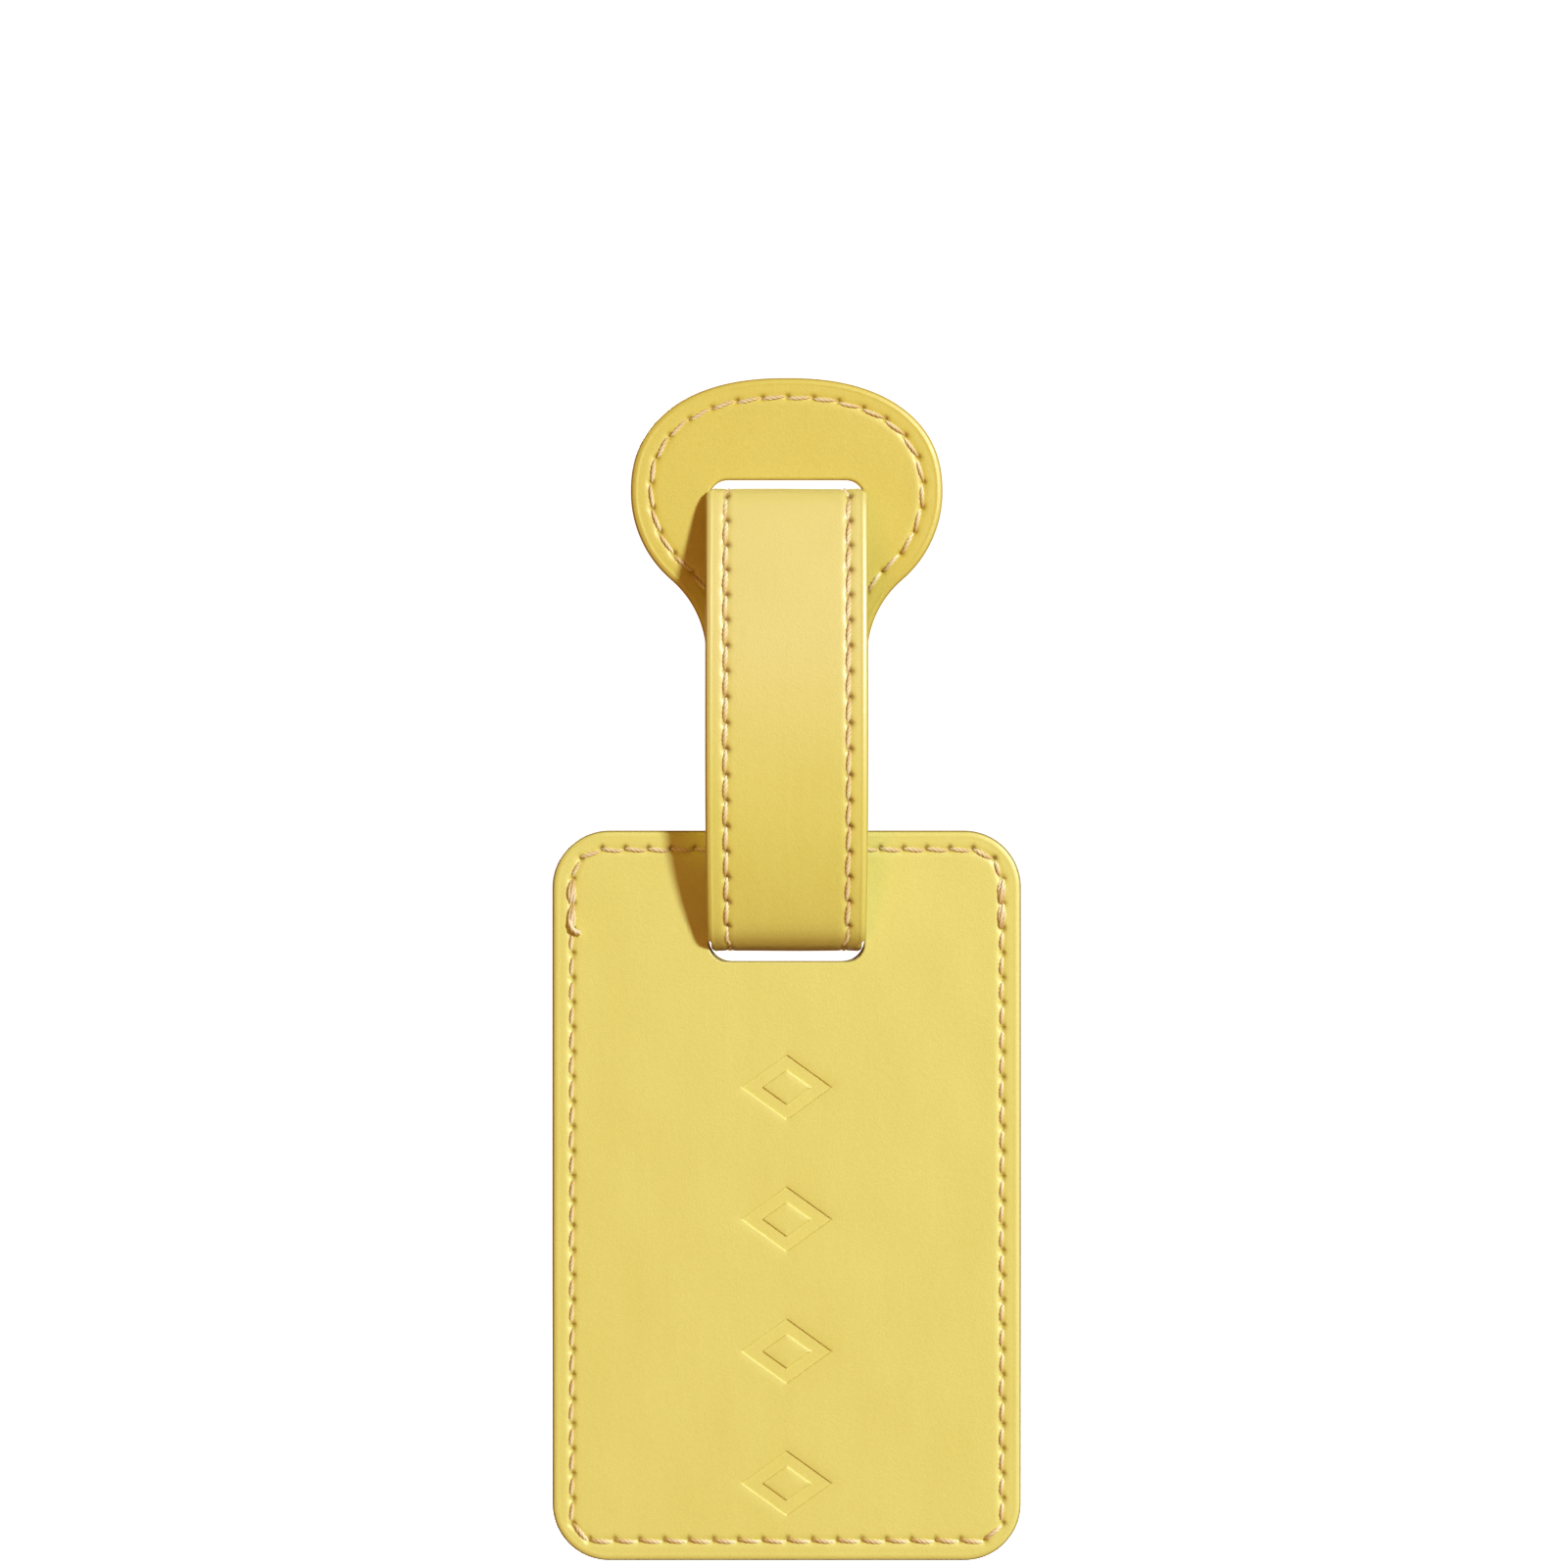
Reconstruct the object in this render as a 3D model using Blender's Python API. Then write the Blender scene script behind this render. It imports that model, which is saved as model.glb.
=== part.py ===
"""Leather luggage tag on a self-closing strap, hanging as it does from a bag handle.

Metres, +Z up, front faces -Y, X = 0 is the middle. The origin is on the lower edge of the slot in
the strap's head, where the loop closes.

The strap is one strip: head, neck, back run behind the tag, turn through the tag's slot, front run,
fold through the head's slot, and a tail behind the neck. Its layers are cut out flat in (x, s, n),
with s the length along the strip and n the height off its middle, and are then bent along the route.
"""

import math

import bmesh
import bpy
from mathutils import Vector

MM = 0.001

# Tag body
TAG_WIDTH = 70.3 * MM
TAG_HEIGHT = 109.5 * MM
TAG_TOP = -48.3 * MM
TAG_BOTTOM = TAG_TOP - TAG_HEIGHT
TAG_CORNER = 8.5 * MM
TAG_SEAM_INSET = 2.9 * MM
TAG_SLOT_TOP = -63.3 * MM
TAG_SLOT_BOTTOM = -67.9 * MM
SLOT_HALF_WIDTH = 12.6 * MM
SLOT_BEARING_CORNER = 0.5 * MM
SLOT_FREE_CORNER = 1.9 * MM

# Layers of the tag body, front to back, as places on Y
COVER_FRONT = -1.4 * MM
COVER_THICKNESS = 1.0 * MM
COVER_ROUNDING = 0.45 * MM
BOARD_THICKNESS = 0.8 * MM
BACKING_THICKNESS = 0.8 * MM
LAYER_GAP = 0.1 * MM
BOARD_INSET = 1.2 * MM

# Card pocket on the back
POCKET_DEPTH = 0.9 * MM
FRAME_THICKNESS = 0.9 * MM
FRAME_TOP = -71.5 * MM
FRAME_MOUTH_X = 29.0 * MM
RIM_WIDTH = 5.2 * MM
WINDOW_WIDTH = 42.0 * MM
WINDOW_HEIGHT = 62.0 * MM
WINDOW_CORNER = 3.0 * MM
WINDOW_SEAM_INSET = 2.0 * MM
THUMB_NOTCH_RADIUS = 7.0 * MM
FILM_THICKNESS = 0.2 * MM
FILM_MARGIN = 3.2 * MM
CARD_WIDTH = 57.0 * MM
CARD_HEIGHT = 74.5 * MM
CARD_THICKNESS = 0.3 * MM
CARD_CORNER = 2.5 * MM

# Debossed marks: lozenge frames with a lozenge island, one above another
MARK_COUNT = 4
MARK_TOP_CENTRE = -86.8 * MM
MARK_SPACING = 19.8 * MM
MARK_HALF_WIDTH = 6.8 * MM
MARK_HALF_HEIGHT = 4.9 * MM
MARK_ISLAND = 0.52
MARK_DEPTH = 0.45 * MM

# Strap strip
STRAP_HALF_WIDTH = 12.15 * MM
STRAP_THICKNESS = 2.2 * MM
SKIN_THICKNESS = 0.8 * MM
TAPE_THICKNESS = 0.4 * MM
TAPE_INSET = 1.0 * MM
STRAP_SEAM_INSET = 2.95 * MM
TAIL_LENGTH = 27.0 * MM
TAIL_ROUND = 9.0 * MM

# Strap head
HEAD_TOP = 19.64 * MM
HEAD_WIDEST = 2.5 * MM
HEAD_HALF_WIDTH = 23.4 * MM
HEAD_POWER = 2.3
SHOULDER_RADIUS = 17.2 * MM
THROAT_RADIUS = 14.9 * MM
HEAD_SLOT_TOP = 4.35 * MM

# Route of the strap in the YZ plane
BEND_START = -4.0 * MM
TURN_CENTRE_Z = -62.0 * MM
TURN_RADIUS = 3.3 * MM
FOLD_CENTRE_Z = -0.7 * MM
FOLD_RADIUS = 2.7 * MM
RUN_LEAN = math.radians(22.0)
FOLD_LEAN = math.radians(20.0)
BACK_HANDLES = (20.0 * MM, 25.0 * MM)
FRONT_HANDLES = (22.0 * MM, 22.0 * MM)

# Sewing
THREAD_WIDTH = 0.6 * MM
THREAD_HEIGHT = 0.32 * MM
GROOVE_WIDTH = 0.9 * MM
GROOVE_DEPTH = 0.42 * MM
THREAD_SINK = 0.04 * MM
THREAD_STEP = 1.6 * MM

CUT_PAST = 1.0 * MM


# ---------------------------------------------------------------- materials and objects


def material(name, colour, roughness):
    made = bpy.data.materials.new(name)
    made.use_nodes = True
    shader = made.node_tree.nodes["Principled BSDF"]
    shader.inputs["Base Color"].default_value = (*colour, 1.0)
    shader.inputs["Roughness"].default_value = roughness
    shader.inputs["Metallic"].default_value = 0.0
    made.diffuse_color = (*colour, 1.0)
    return made


def face_outwards(mesh_data):
    bmesh.ops.recalc_face_normals(mesh_data, faces=mesh_data.faces)
    if mesh_data.calc_volume(signed=True) < 0:
        bmesh.ops.reverse_faces(mesh_data, faces=mesh_data.faces)


def add_object(name, mesh_data, finish=None):
    mesh = bpy.data.meshes.new(name)
    face_outwards(mesh_data)
    mesh_data.to_mesh(mesh)
    mesh_data.free()
    made = bpy.data.objects.new(name, mesh)
    bpy.context.scene.collection.objects.link(made)
    if finish:
        mesh.materials.append(finish)
    return made


def cut(target, cutter):
    """Takes the cutter out of the target, and keeps the cutter as a hidden wire guide."""
    cutter.hide_render = True
    cutter.display_type = "WIRE"
    step = target.modifiers.new("cut_" + cutter.name, "BOOLEAN")
    step.operation = "DIFFERENCE"
    step.solver = "EXACT"
    step.object = cutter


def apply_cuts(target):
    """Bakes the target's modifiers into its mesh, so that the mesh can be bent."""
    graph = bpy.context.evaluated_depsgraph_get()
    baked = bpy.data.meshes.new_from_object(target.evaluated_get(graph))
    target.modifiers.clear()
    target.data = baked


def smooth(made, angle=35.0):
    made.data.shade_smooth()
    made.data.set_sharp_from_angle(angle=math.radians(angle))


def hang_on(parent, *children):
    """Parents the children where they stand."""
    bpy.context.view_layer.update()
    for child in children:
        child.parent = parent
        child.matrix_parent_inverse = parent.matrix_world.inverted()


# ---------------------------------------------------------------- outlines


def arc(centre, radius, start, end, steps):
    """Points on an arc, angles in degrees, both ends included."""
    points = []
    for i in range(steps + 1):
        angle = math.radians(start + (end - start) * i / steps)
        points.append((centre[0] + radius * math.cos(angle), centre[1] + radius * math.sin(angle)))
    return points


def rounded_rectangle(left, bottom, right, top, radius, steps=6):
    corners = (
        ((right - radius, top - radius), 0),
        ((left + radius, top - radius), 90),
        ((left + radius, bottom + radius), 180),
        ((right - radius, bottom + radius), 270),
    )
    points = []
    for centre, start in corners:
        points += arc(centre, radius, start, start + 90, steps)
    return points


def lozenge(centre, half_width, half_height):
    x, z = centre
    return [(x + half_width, z), (x, z + half_height), (x - half_width, z), (x, z - half_height)]


def offset(loop, distance):
    """The closed loop moved sideways: a positive distance moves an anticlockwise loop outwards."""
    moved = []
    for i, point in enumerate(loop):
        before = Vector(point) - Vector(loop[i - 1])
        after = Vector(loop[(i + 1) % len(loop)]) - Vector(point)
        sideways = []
        for edge in (before, after):
            sideways.append(Vector((edge.y, -edge.x)).normalized())
        middle = (sideways[0] + sideways[1]).normalized()
        reach = distance / max(middle.dot(sideways[0]), 0.5)
        moved.append((point[0] + middle.x * reach, point[1] + middle.y * reach))
    return moved


def tag_outline(inset=0.0):
    half = TAG_WIDTH / 2 - inset
    bottom = TAG_BOTTOM + inset
    return rounded_rectangle(-half, bottom, half, TAG_TOP - inset, TAG_CORNER - inset)


def slot_outline(bearing, free, outset=0.0):
    """Slot with tight corners on the edge that the strap bears on, and round ones opposite."""
    points = []
    for edge, inward, radius in (
        (bearing, math.copysign(1, free - bearing), SLOT_BEARING_CORNER),
        (free, math.copysign(1, bearing - free), SLOT_FREE_CORNER),
    ):
        side = arc((0.0, 0.0), radius, 0, 90, 4)
        right = [(SLOT_HALF_WIDTH - radius + a, edge + inward * (radius - b)) for a, b in side]
        left = [(-a, b) for a, b in reversed(right)]
        points.append(right + left)
    loop = points[0] + list(reversed(points[1]))
    return offset(loop, math.copysign(outset, bearing - free)) if outset else loop


# ---------------------------------------------------------------- solids


def prism(loop, low, high, place):
    """Closed solid: the loop carried from low to high. place(a, b, level) gives a point in space."""
    made = bmesh.new()
    floor = [made.verts.new(place(a, b, low)) for a, b in loop]
    roof = [made.verts.new(place(a, b, high)) for a, b in loop]
    made.faces.new(floor)
    made.faces.new(list(reversed(roof)))
    for i in range(len(loop)):
        j = (i + 1) % len(loop)
        made.faces.new((floor[i], roof[i], roof[j], floor[j]))
    return made


def band(loop, width, low, high, place):
    """Closed solid that runs round a loop: width across it, from low to high.

    low and high may be functions of a point of the loop, for a band that changes level.
    """
    level_low = low if callable(low) else lambda a, b: low
    level_high = high if callable(high) else lambda a, b: high
    sides = (offset(loop, width / 2), offset(loop, -width / 2))
    made = bmesh.new()
    rings = []
    for i, middle in enumerate(loop):
        bottom, top = level_low(*middle), level_high(*middle)
        (oa, ob), (ia, ib) = sides[0][i], sides[1][i]
        corners = (place(oa, ob, bottom), place(oa, ob, top), place(ia, ib, top), place(ia, ib, bottom))
        rings.append([made.verts.new(corner) for corner in corners])
    for i, ring in enumerate(rings):
        following = rings[(i + 1) % len(rings)]
        for k in range(4):
            m = (k + 1) % 4
            made.faces.new((ring[k], ring[m], following[m], following[k]))
    return made


def upright(x, z, y):
    """Places a flat pattern of the tag body: the pattern is (x, z), and its level is y."""
    return (x, y, z)


def laid_flat(x, s, n):
    """Places a flat pattern of the strap: the pattern is (x, s), and its level is n."""
    return (x, s, n)


def groove(name, loop, surface, direction, place):
    """Cutter for the channel that a row of stitches presses into a surface."""
    levels = sorted((surface - direction * GROOVE_DEPTH, surface + direction * CUT_PAST))
    return add_object(name, band(loop, GROOVE_WIDTH, *levels, place))


def thread_levels(surface, direction):
    top = surface - direction * THREAD_SINK
    return sorted((top, top - direction * THREAD_HEIGHT))


# ---------------------------------------------------------------- the strap's route


def bezier(p0, p1, p2, p3, steps):
    points = []
    for i in range(1, steps + 1):
        t = i / steps
        u = 1 - t
        points.append(p0 * u**3 + p1 * 3 * u * u * t + p2 * 3 * u * t * t + p3 * t**3)
    return points


def strap_route():
    """Corners of the strip's middle line in (y, z), and the way off it, from head top to tail end."""
    route = [Vector((0.0, HEAD_TOP)), Vector((0.0, BEND_START))]

    # Back run, from the neck down to the turn
    turn = Vector((0.0, TURN_CENTRE_Z))
    lean = Vector((math.sin(RUN_LEAN), math.cos(RUN_LEAN)))
    turn_back = turn + TURN_RADIUS * Vector((lean.y, -lean.x))
    neck_end = route[-1] - Vector((0.0, BACK_HANDLES[0]))
    back = bezier(route[-1], neck_end, turn_back + lean * BACK_HANDLES[1], turn_back, 16)
    route += back

    # Turn through the tag's slot
    sweep = math.pi - 2 * RUN_LEAN
    for i in range(1, 11):
        angle = -RUN_LEAN - sweep * i / 10
        route.append(turn + TURN_RADIUS * Vector((math.cos(angle), math.sin(angle))))

    # Front run, up to the fold
    fold = Vector((0.0, FOLD_CENTRE_Z))
    rise = Vector((math.sin(FOLD_LEAN), math.cos(FOLD_LEAN)))
    fold_front = fold + FOLD_RADIUS * Vector((-rise.y, rise.x))
    leave = route[-1] + Vector((-lean.x, lean.y)) * FRONT_HANDLES[0]
    route += bezier(route[-1], leave, fold_front - rise * FRONT_HANDLES[1], fold_front, 18)

    # Fold through the head's slot
    sweep = math.pi - FOLD_LEAN
    for i in range(1, 12):
        angle = math.pi - FOLD_LEAN - sweep * i / 11
        route.append(fold + FOLD_RADIUS * Vector((math.cos(angle), math.sin(angle))))

    # Tail, lying along the neck and the start of the back run
    neck_line = [fold, Vector((0.0, BEND_START))] + back
    travelled = 0.0
    for before, point, after in zip(neck_line, neck_line[1:], neck_line[2:]):
        heading = after - before
        sideways = Vector((-heading.y, heading.x)).normalized()
        route.append(point + sideways * FOLD_RADIUS)
        travelled += (route[-1] - route[-2]).length
        if travelled > TAIL_LENGTH:
            break
    return route


def strap_stations(route):
    """(s, point, way off) at each corner of the route."""
    stations = []
    s = 0.0
    for i, point in enumerate(route):
        if i:
            s += (point - route[i - 1]).length
        heading = Vector((0.0, 0.0))
        if i:
            heading += (point - route[i - 1]).normalized()
        if i + 1 < len(route):
            heading += (route[i + 1] - point).normalized()
        heading.normalize()
        stations.append((s, point, Vector((-heading.y, heading.x))))
    return stations


def strap_outline(length, inset=0.0):
    """Closed outline of the strip in (x, s), head top first, down the right side."""
    half_height = HEAD_TOP - HEAD_WIDEST
    right = []
    for i in range(13):
        angle = math.pi / 2 * i / 12
        x = HEAD_HALF_WIDTH * math.sin(angle) ** (2 / HEAD_POWER)
        s = half_height * (1 - math.cos(angle) ** (2 / HEAD_POWER))
        right.append((x, s))
    fall = HEAD_HALF_WIDTH - STRAP_HALF_WIDTH
    sweep = math.degrees(math.acos(1 - fall / (SHOULDER_RADIUS + THROAT_RADIUS)))
    shoulder = (HEAD_HALF_WIDTH - SHOULDER_RADIUS, half_height)
    right += arc(shoulder, SHOULDER_RADIUS, 0, sweep, 7)[1:]
    drop = (SHOULDER_RADIUS + THROAT_RADIUS) * math.sin(math.radians(sweep))
    throat = (STRAP_HALF_WIDTH + THROAT_RADIUS, half_height + drop)
    right += arc(throat, THROAT_RADIUS, 180 + sweep, 180, 7)[1:]
    for i in range(9):
        angle = math.pi / 2 * i / 8
        right.append((STRAP_HALF_WIDTH * math.cos(angle), length - TAIL_ROUND * (1 - math.sin(angle))))
    left = [(-x, s) for x, s in reversed(right[1:-1])]
    return offset(right + left, -inset) if inset else right + left


def bend(made, stations):
    """Cuts a flat layer across at each station, and lays it along the route."""
    mesh_data = bmesh.new()
    mesh_data.from_mesh(made.data)
    for s, _, _ in stations[1:-1]:
        everything = mesh_data.verts[:] + mesh_data.edges[:] + mesh_data.faces[:]
        bmesh.ops.bisect_plane(
            mesh_data, geom=everything, dist=1e-7, plane_co=(0.0, s, 0.0), plane_no=(0.0, 1.0, 0.0)
        )
    for vert in mesh_data.verts:
        x, s, n = vert.co
        k = 1
        while k < len(stations) - 1 and stations[k][0] < s:
            k += 1
        (s0, p0, off0), (s1, p1, off1) = stations[k - 1], stations[k]
        t = (s - s0) / (s1 - s0)
        place = p0.lerp(p1, t) + off0.lerp(off1, t) * n
        vert.co = (x, place.x, place.y)
    face_outwards(mesh_data)
    mesh_data.to_mesh(made.data)
    mesh_data.free()


# ---------------------------------------------------------------- the strap


def make_strap(finishes):
    stations = strap_stations(strap_route())
    length = stations[-1][0]
    outline = strap_outline(length)
    seam = strap_outline(length, STRAP_SEAM_INSET)
    half = STRAP_THICKNESS / 2
    slot_ends = (HEAD_TOP, HEAD_TOP - HEAD_SLOT_TOP)
    past = (-half - CUT_PAST, half + CUT_PAST)
    slot = add_object("head_slot_cutter", prism(slot_outline(*slot_ends), *past, laid_flat))

    layers = []
    for side, direction in (("outer", 1), ("inner", -1)):
        surface = half * direction
        levels = sorted((surface, surface - direction * SKIN_THICKNESS))
        skin = add_object(f"strap_{side}_leather", prism(outline, *levels, laid_flat), finishes["leather"])
        cut(skin, slot)
        cut(skin, groove(f"strap_{side}_groove_cutter", seam, surface, direction, laid_flat))
        levels = thread_levels(surface, direction)
        row = band(seam, THREAD_WIDTH, *levels, laid_flat)
        thread = add_object(f"strap_{side}_thread", row, finishes["thread"])
        layers += [skin, thread]

    tape_levels = (-TAPE_THICKNESS / 2, TAPE_THICKNESS / 2)
    tape_solid = prism(strap_outline(length, TAPE_INSET), *tape_levels, laid_flat)
    tape = add_object("strap_reinforcement_tape", tape_solid, finishes["tape"])
    wide_slot = slot_outline(*slot_ends, TAPE_INSET)
    cut(tape, add_object("tape_slot_cutter", prism(wide_slot, *past, laid_flat)))
    layers.append(tape)

    for layer in layers:
        apply_cuts(layer)
        bend(layer, stations)
        smooth(layer)
    return layers


# ---------------------------------------------------------------- the tag body


def rounded_cover():
    """The front cover before it is cut: a plate whose front edge is rounded over."""
    plate = prism(tag_outline(), COVER_FRONT, COVER_FRONT + COVER_THICKNESS, upright)
    middle = COVER_FRONT + COVER_THICKNESS / 2
    front = [edge for edge in plate.edges if all(vert.co.y < middle for vert in edge.verts)]
    bmesh.ops.bevel(plate, geom=front, offset=COVER_ROUNDING, segments=2, profile=0.5, affect="EDGES")
    return plate


def cut_marks(cover):
    """Presses the marks into the cover: each is a lozenge frame round a lozenge island."""
    for i in range(MARK_COUNT):
        centre = (0.0, MARK_TOP_CENTRE - i * MARK_SPACING)
        half_sizes = (MARK_HALF_WIDTH, MARK_HALF_HEIGHT)
        middle = (1 + MARK_ISLAND) / 2
        frame_loop = lozenge(centre, half_sizes[0] * middle, half_sizes[1] * middle)
        slope = math.atan2(half_sizes[1], half_sizes[0])
        frame_width = half_sizes[0] * math.sin(slope) * (1 - MARK_ISLAND)
        levels = (COVER_FRONT - CUT_PAST, COVER_FRONT + MARK_DEPTH)
        cut(cover, add_object(f"mark_{i + 1}_cutter", band(frame_loop, frame_width, *levels, upright)))


def frame_outline():
    """Outline of the window frame: the tag's own lower edge, a straight top and the mouth side."""
    left = -TAG_WIDTH / 2
    corner = arc((left + TAG_CORNER, TAG_BOTTOM + TAG_CORNER), TAG_CORNER, 180, 270, 6)
    return [(FRAME_MOUTH_X, FRAME_TOP), (left, FRAME_TOP), *corner, (FRAME_MOUTH_X, TAG_BOTTOM)]


def back_seam_level(rear_backing, rear_frame):
    """Level of the back seam's thread: on the frame where the frame is, on the backing elsewhere."""

    def level(x, z):
        past_top = z - (FRAME_TOP + THREAD_WIDTH)
        past_mouth = x - (FRAME_MOUTH_X + THREAD_WIDTH)
        away = max(past_top, past_mouth) / THREAD_STEP
        return rear_frame + (rear_backing - rear_frame) * min(max(away, 0.0), 1.0)

    return level


def back_seam_loop():
    """The seam's loop, with points where its thread climbs on and off the window frame."""
    loop = tag_outline(TAG_SEAM_INSET)
    half = TAG_WIDTH / 2 - TAG_SEAM_INSET
    radius = TAG_CORNER - TAG_SEAM_INSET
    centre = (half - radius, TAG_BOTTOM + TAG_CORNER)
    climb = (THREAD_WIDTH, THREAD_WIDTH + THREAD_STEP)

    # Down the left side, the thread climbs just above the frame's top
    on_left = [(-half, FRAME_TOP + step) for step in reversed(climb)]

    # On the lower right corner's arc, it steps off just past the frame's mouth
    on_corner = []
    for step in climb:
        x = FRAME_MOUTH_X + step
        on_corner.append((x, centre[1] - math.sqrt(radius**2 - (x - centre[0]) ** 2)))

    quarter = len(loop) // 4
    corner = loop[3 * quarter :]
    before = [point for point in corner if point[0] < FRAME_MOUTH_X + THREAD_WIDTH / 2]
    after = [point for point in corner if point[0] > on_corner[1][0] + THREAD_WIDTH]
    return loop[: 2 * quarter] + on_left + loop[2 * quarter : 3 * quarter] + before + on_corner + after


def make_tag(finishes):
    cover_back = COVER_FRONT + COVER_THICKNESS
    board_front = cover_back + LAYER_GAP
    board_back = board_front + BOARD_THICKNESS
    backing_front = board_back + LAYER_GAP
    backing_back = backing_front + BACKING_THICKNESS
    frame_inside = backing_back + POCKET_DEPTH
    frame_back = frame_inside + FRAME_THICKNESS
    seam = tag_outline(TAG_SEAM_INSET)
    pieces = []

    slot_loop = slot_outline(TAG_SLOT_TOP, TAG_SLOT_BOTTOM)
    past = (COVER_FRONT - CUT_PAST, frame_back + CUT_PAST)
    slot = add_object("tag_slot_cutter", prism(slot_loop, *past, upright))

    cover = add_object("front_cover", rounded_cover(), finishes["leather"])
    cut(cover, slot)
    cut(cover, groove("front_groove_cutter", seam, COVER_FRONT, -1, upright))
    cut_marks(cover)
    pieces.append(cover)

    board_solid = prism(tag_outline(BOARD_INSET), board_front, board_back, upright)
    board = add_object("stiffener_board", board_solid, finishes["board"])
    wide_loop = slot_outline(TAG_SLOT_TOP, TAG_SLOT_BOTTOM, BOARD_INSET)
    cut(board, add_object("board_slot_cutter", prism(wide_loop, *past, upright)))
    pieces.append(board)

    backing_solid = prism(tag_outline(), backing_front, backing_back, upright)
    backing = add_object("backing_panel", backing_solid, finishes["leather"])
    cut(backing, slot)
    cut(backing, groove("back_groove_cutter", seam, backing_back, 1, upright))
    pieces.append(backing)

    frame = make_window_frame(finishes, backing_back, frame_inside, frame_back)
    pieces.append(frame)

    row = band(seam, THREAD_WIDTH, *thread_levels(COVER_FRONT, -1), upright)
    pieces.append(add_object("seam_thread_front", row, finishes["thread"]))

    level = back_seam_level(backing_back - THREAD_SINK, frame_back - THREAD_SINK)
    row = band(back_seam_loop(), THREAD_WIDTH, lambda x, z: level(x, z) - THREAD_HEIGHT, level, upright)
    pieces.append(add_object("seam_thread_back", row, finishes["thread"]))

    levels = thread_levels(frame_back, 1)
    row = band(window_outline(WINDOW_SEAM_INSET), THREAD_WIDTH, *levels, upright)
    pieces.append(add_object("window_thread", row, finishes["thread"]))
    row = prism(frame_top_row(THREAD_WIDTH), *levels, upright)
    pieces.append(add_object("frame_top_thread", row, finishes["thread"]))

    film_back = frame_inside - LAYER_GAP
    film_loop = window_outline(FILM_MARGIN)
    film_solid = prism(film_loop, film_back - FILM_THICKNESS, film_back, upright)
    pieces.append(add_object("window_film", film_solid, finishes["film"]))

    card = make_card(finishes, backing_back)
    for piece in pieces:
        smooth(piece)
    return pieces, card


def window_centre():
    """The window is centred between the rims of the pocket."""
    return ((FRAME_MOUTH_X - TAG_WIDTH / 2) / 2, (FRAME_TOP + TAG_BOTTOM) / 2)


def window_outline(outset=0.0):
    x, z = window_centre()
    across = WINDOW_WIDTH / 2 + outset
    up = WINDOW_HEIGHT / 2 + outset
    return rounded_rectangle(x - across, z - up, x + across, z + up, WINDOW_CORNER + outset, 4)


def frame_top_row(width):
    """The straight row of stitches along the frame's upper edge."""
    left = -TAG_WIDTH / 2 + TAG_SEAM_INSET + 2 * GROOVE_WIDTH
    right = FRAME_MOUTH_X - TAG_SEAM_INSET
    middle = FRAME_TOP - TAG_SEAM_INSET
    return rounded_rectangle(left, middle - width / 2, right, middle + width / 2, width * 0.45, 2)


def make_window_frame(finishes, backing_back, frame_inside, frame_back):
    """Leather frame over the pocket: a rim on the three sewn sides, a window, and a thumb notch."""
    plate = prism(frame_outline(), backing_back + LAYER_GAP, frame_back, upright)
    frame = add_object("window_frame", plate, finishes["leather"])

    pocket_loop = rounded_rectangle(
        -TAG_WIDTH / 2 + RIM_WIDTH,
        TAG_BOTTOM + RIM_WIDTH,
        FRAME_MOUTH_X + TAG_CORNER,
        FRAME_TOP - RIM_WIDTH,
        CARD_CORNER,
        3,
    )
    past = (backing_back - CUT_PAST, frame_back + CUT_PAST)
    cut(frame, add_object("pocket_cutter", prism(pocket_loop, past[0], frame_inside, upright)))
    cut(frame, add_object("window_cutter", prism(window_outline(), *past, upright)))
    notch_loop = arc((FRAME_MOUTH_X, window_centre()[1]), THUMB_NOTCH_RADIUS, 0, 345, 23)
    cut(frame, add_object("thumb_notch_cutter", prism(notch_loop, *past, upright)))

    rows = (("frame_seam", tag_outline(TAG_SEAM_INSET)), ("window", window_outline(WINDOW_SEAM_INSET)))
    for name, loop in rows:
        cut(frame, groove(name + "_groove_cutter", loop, frame_back, 1, upright))
    top_solid = prism(frame_top_row(GROOVE_WIDTH), frame_back - GROOVE_DEPTH, past[1], upright)
    cut(frame, add_object("frame_top_groove_cutter", top_solid))
    return frame


def make_card(finishes, backing_back):
    """Address card in the pocket, its right edge level with the mouth."""
    right = FRAME_MOUTH_X - 0.5 * MM
    middle = window_centre()[1]
    low = backing_back + LAYER_GAP
    loop = rounded_rectangle(
        right - CARD_WIDTH, middle - CARD_HEIGHT / 2, right, middle + CARD_HEIGHT / 2, CARD_CORNER, 4
    )
    return add_object("address_card", prism(loop, low, low + CARD_THICKNESS, upright), finishes["card"])


# ---------------------------------------------------------------- assembly


def clear_scene():
    for old in list(bpy.data.objects):
        bpy.data.objects.remove(old, do_unlink=True)


def add_pivot(name, place):
    pivot = bpy.data.objects.new(name, None)
    pivot.empty_display_size = 5 * MM
    pivot.location = place
    bpy.context.scene.collection.objects.link(pivot)
    return pivot


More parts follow.
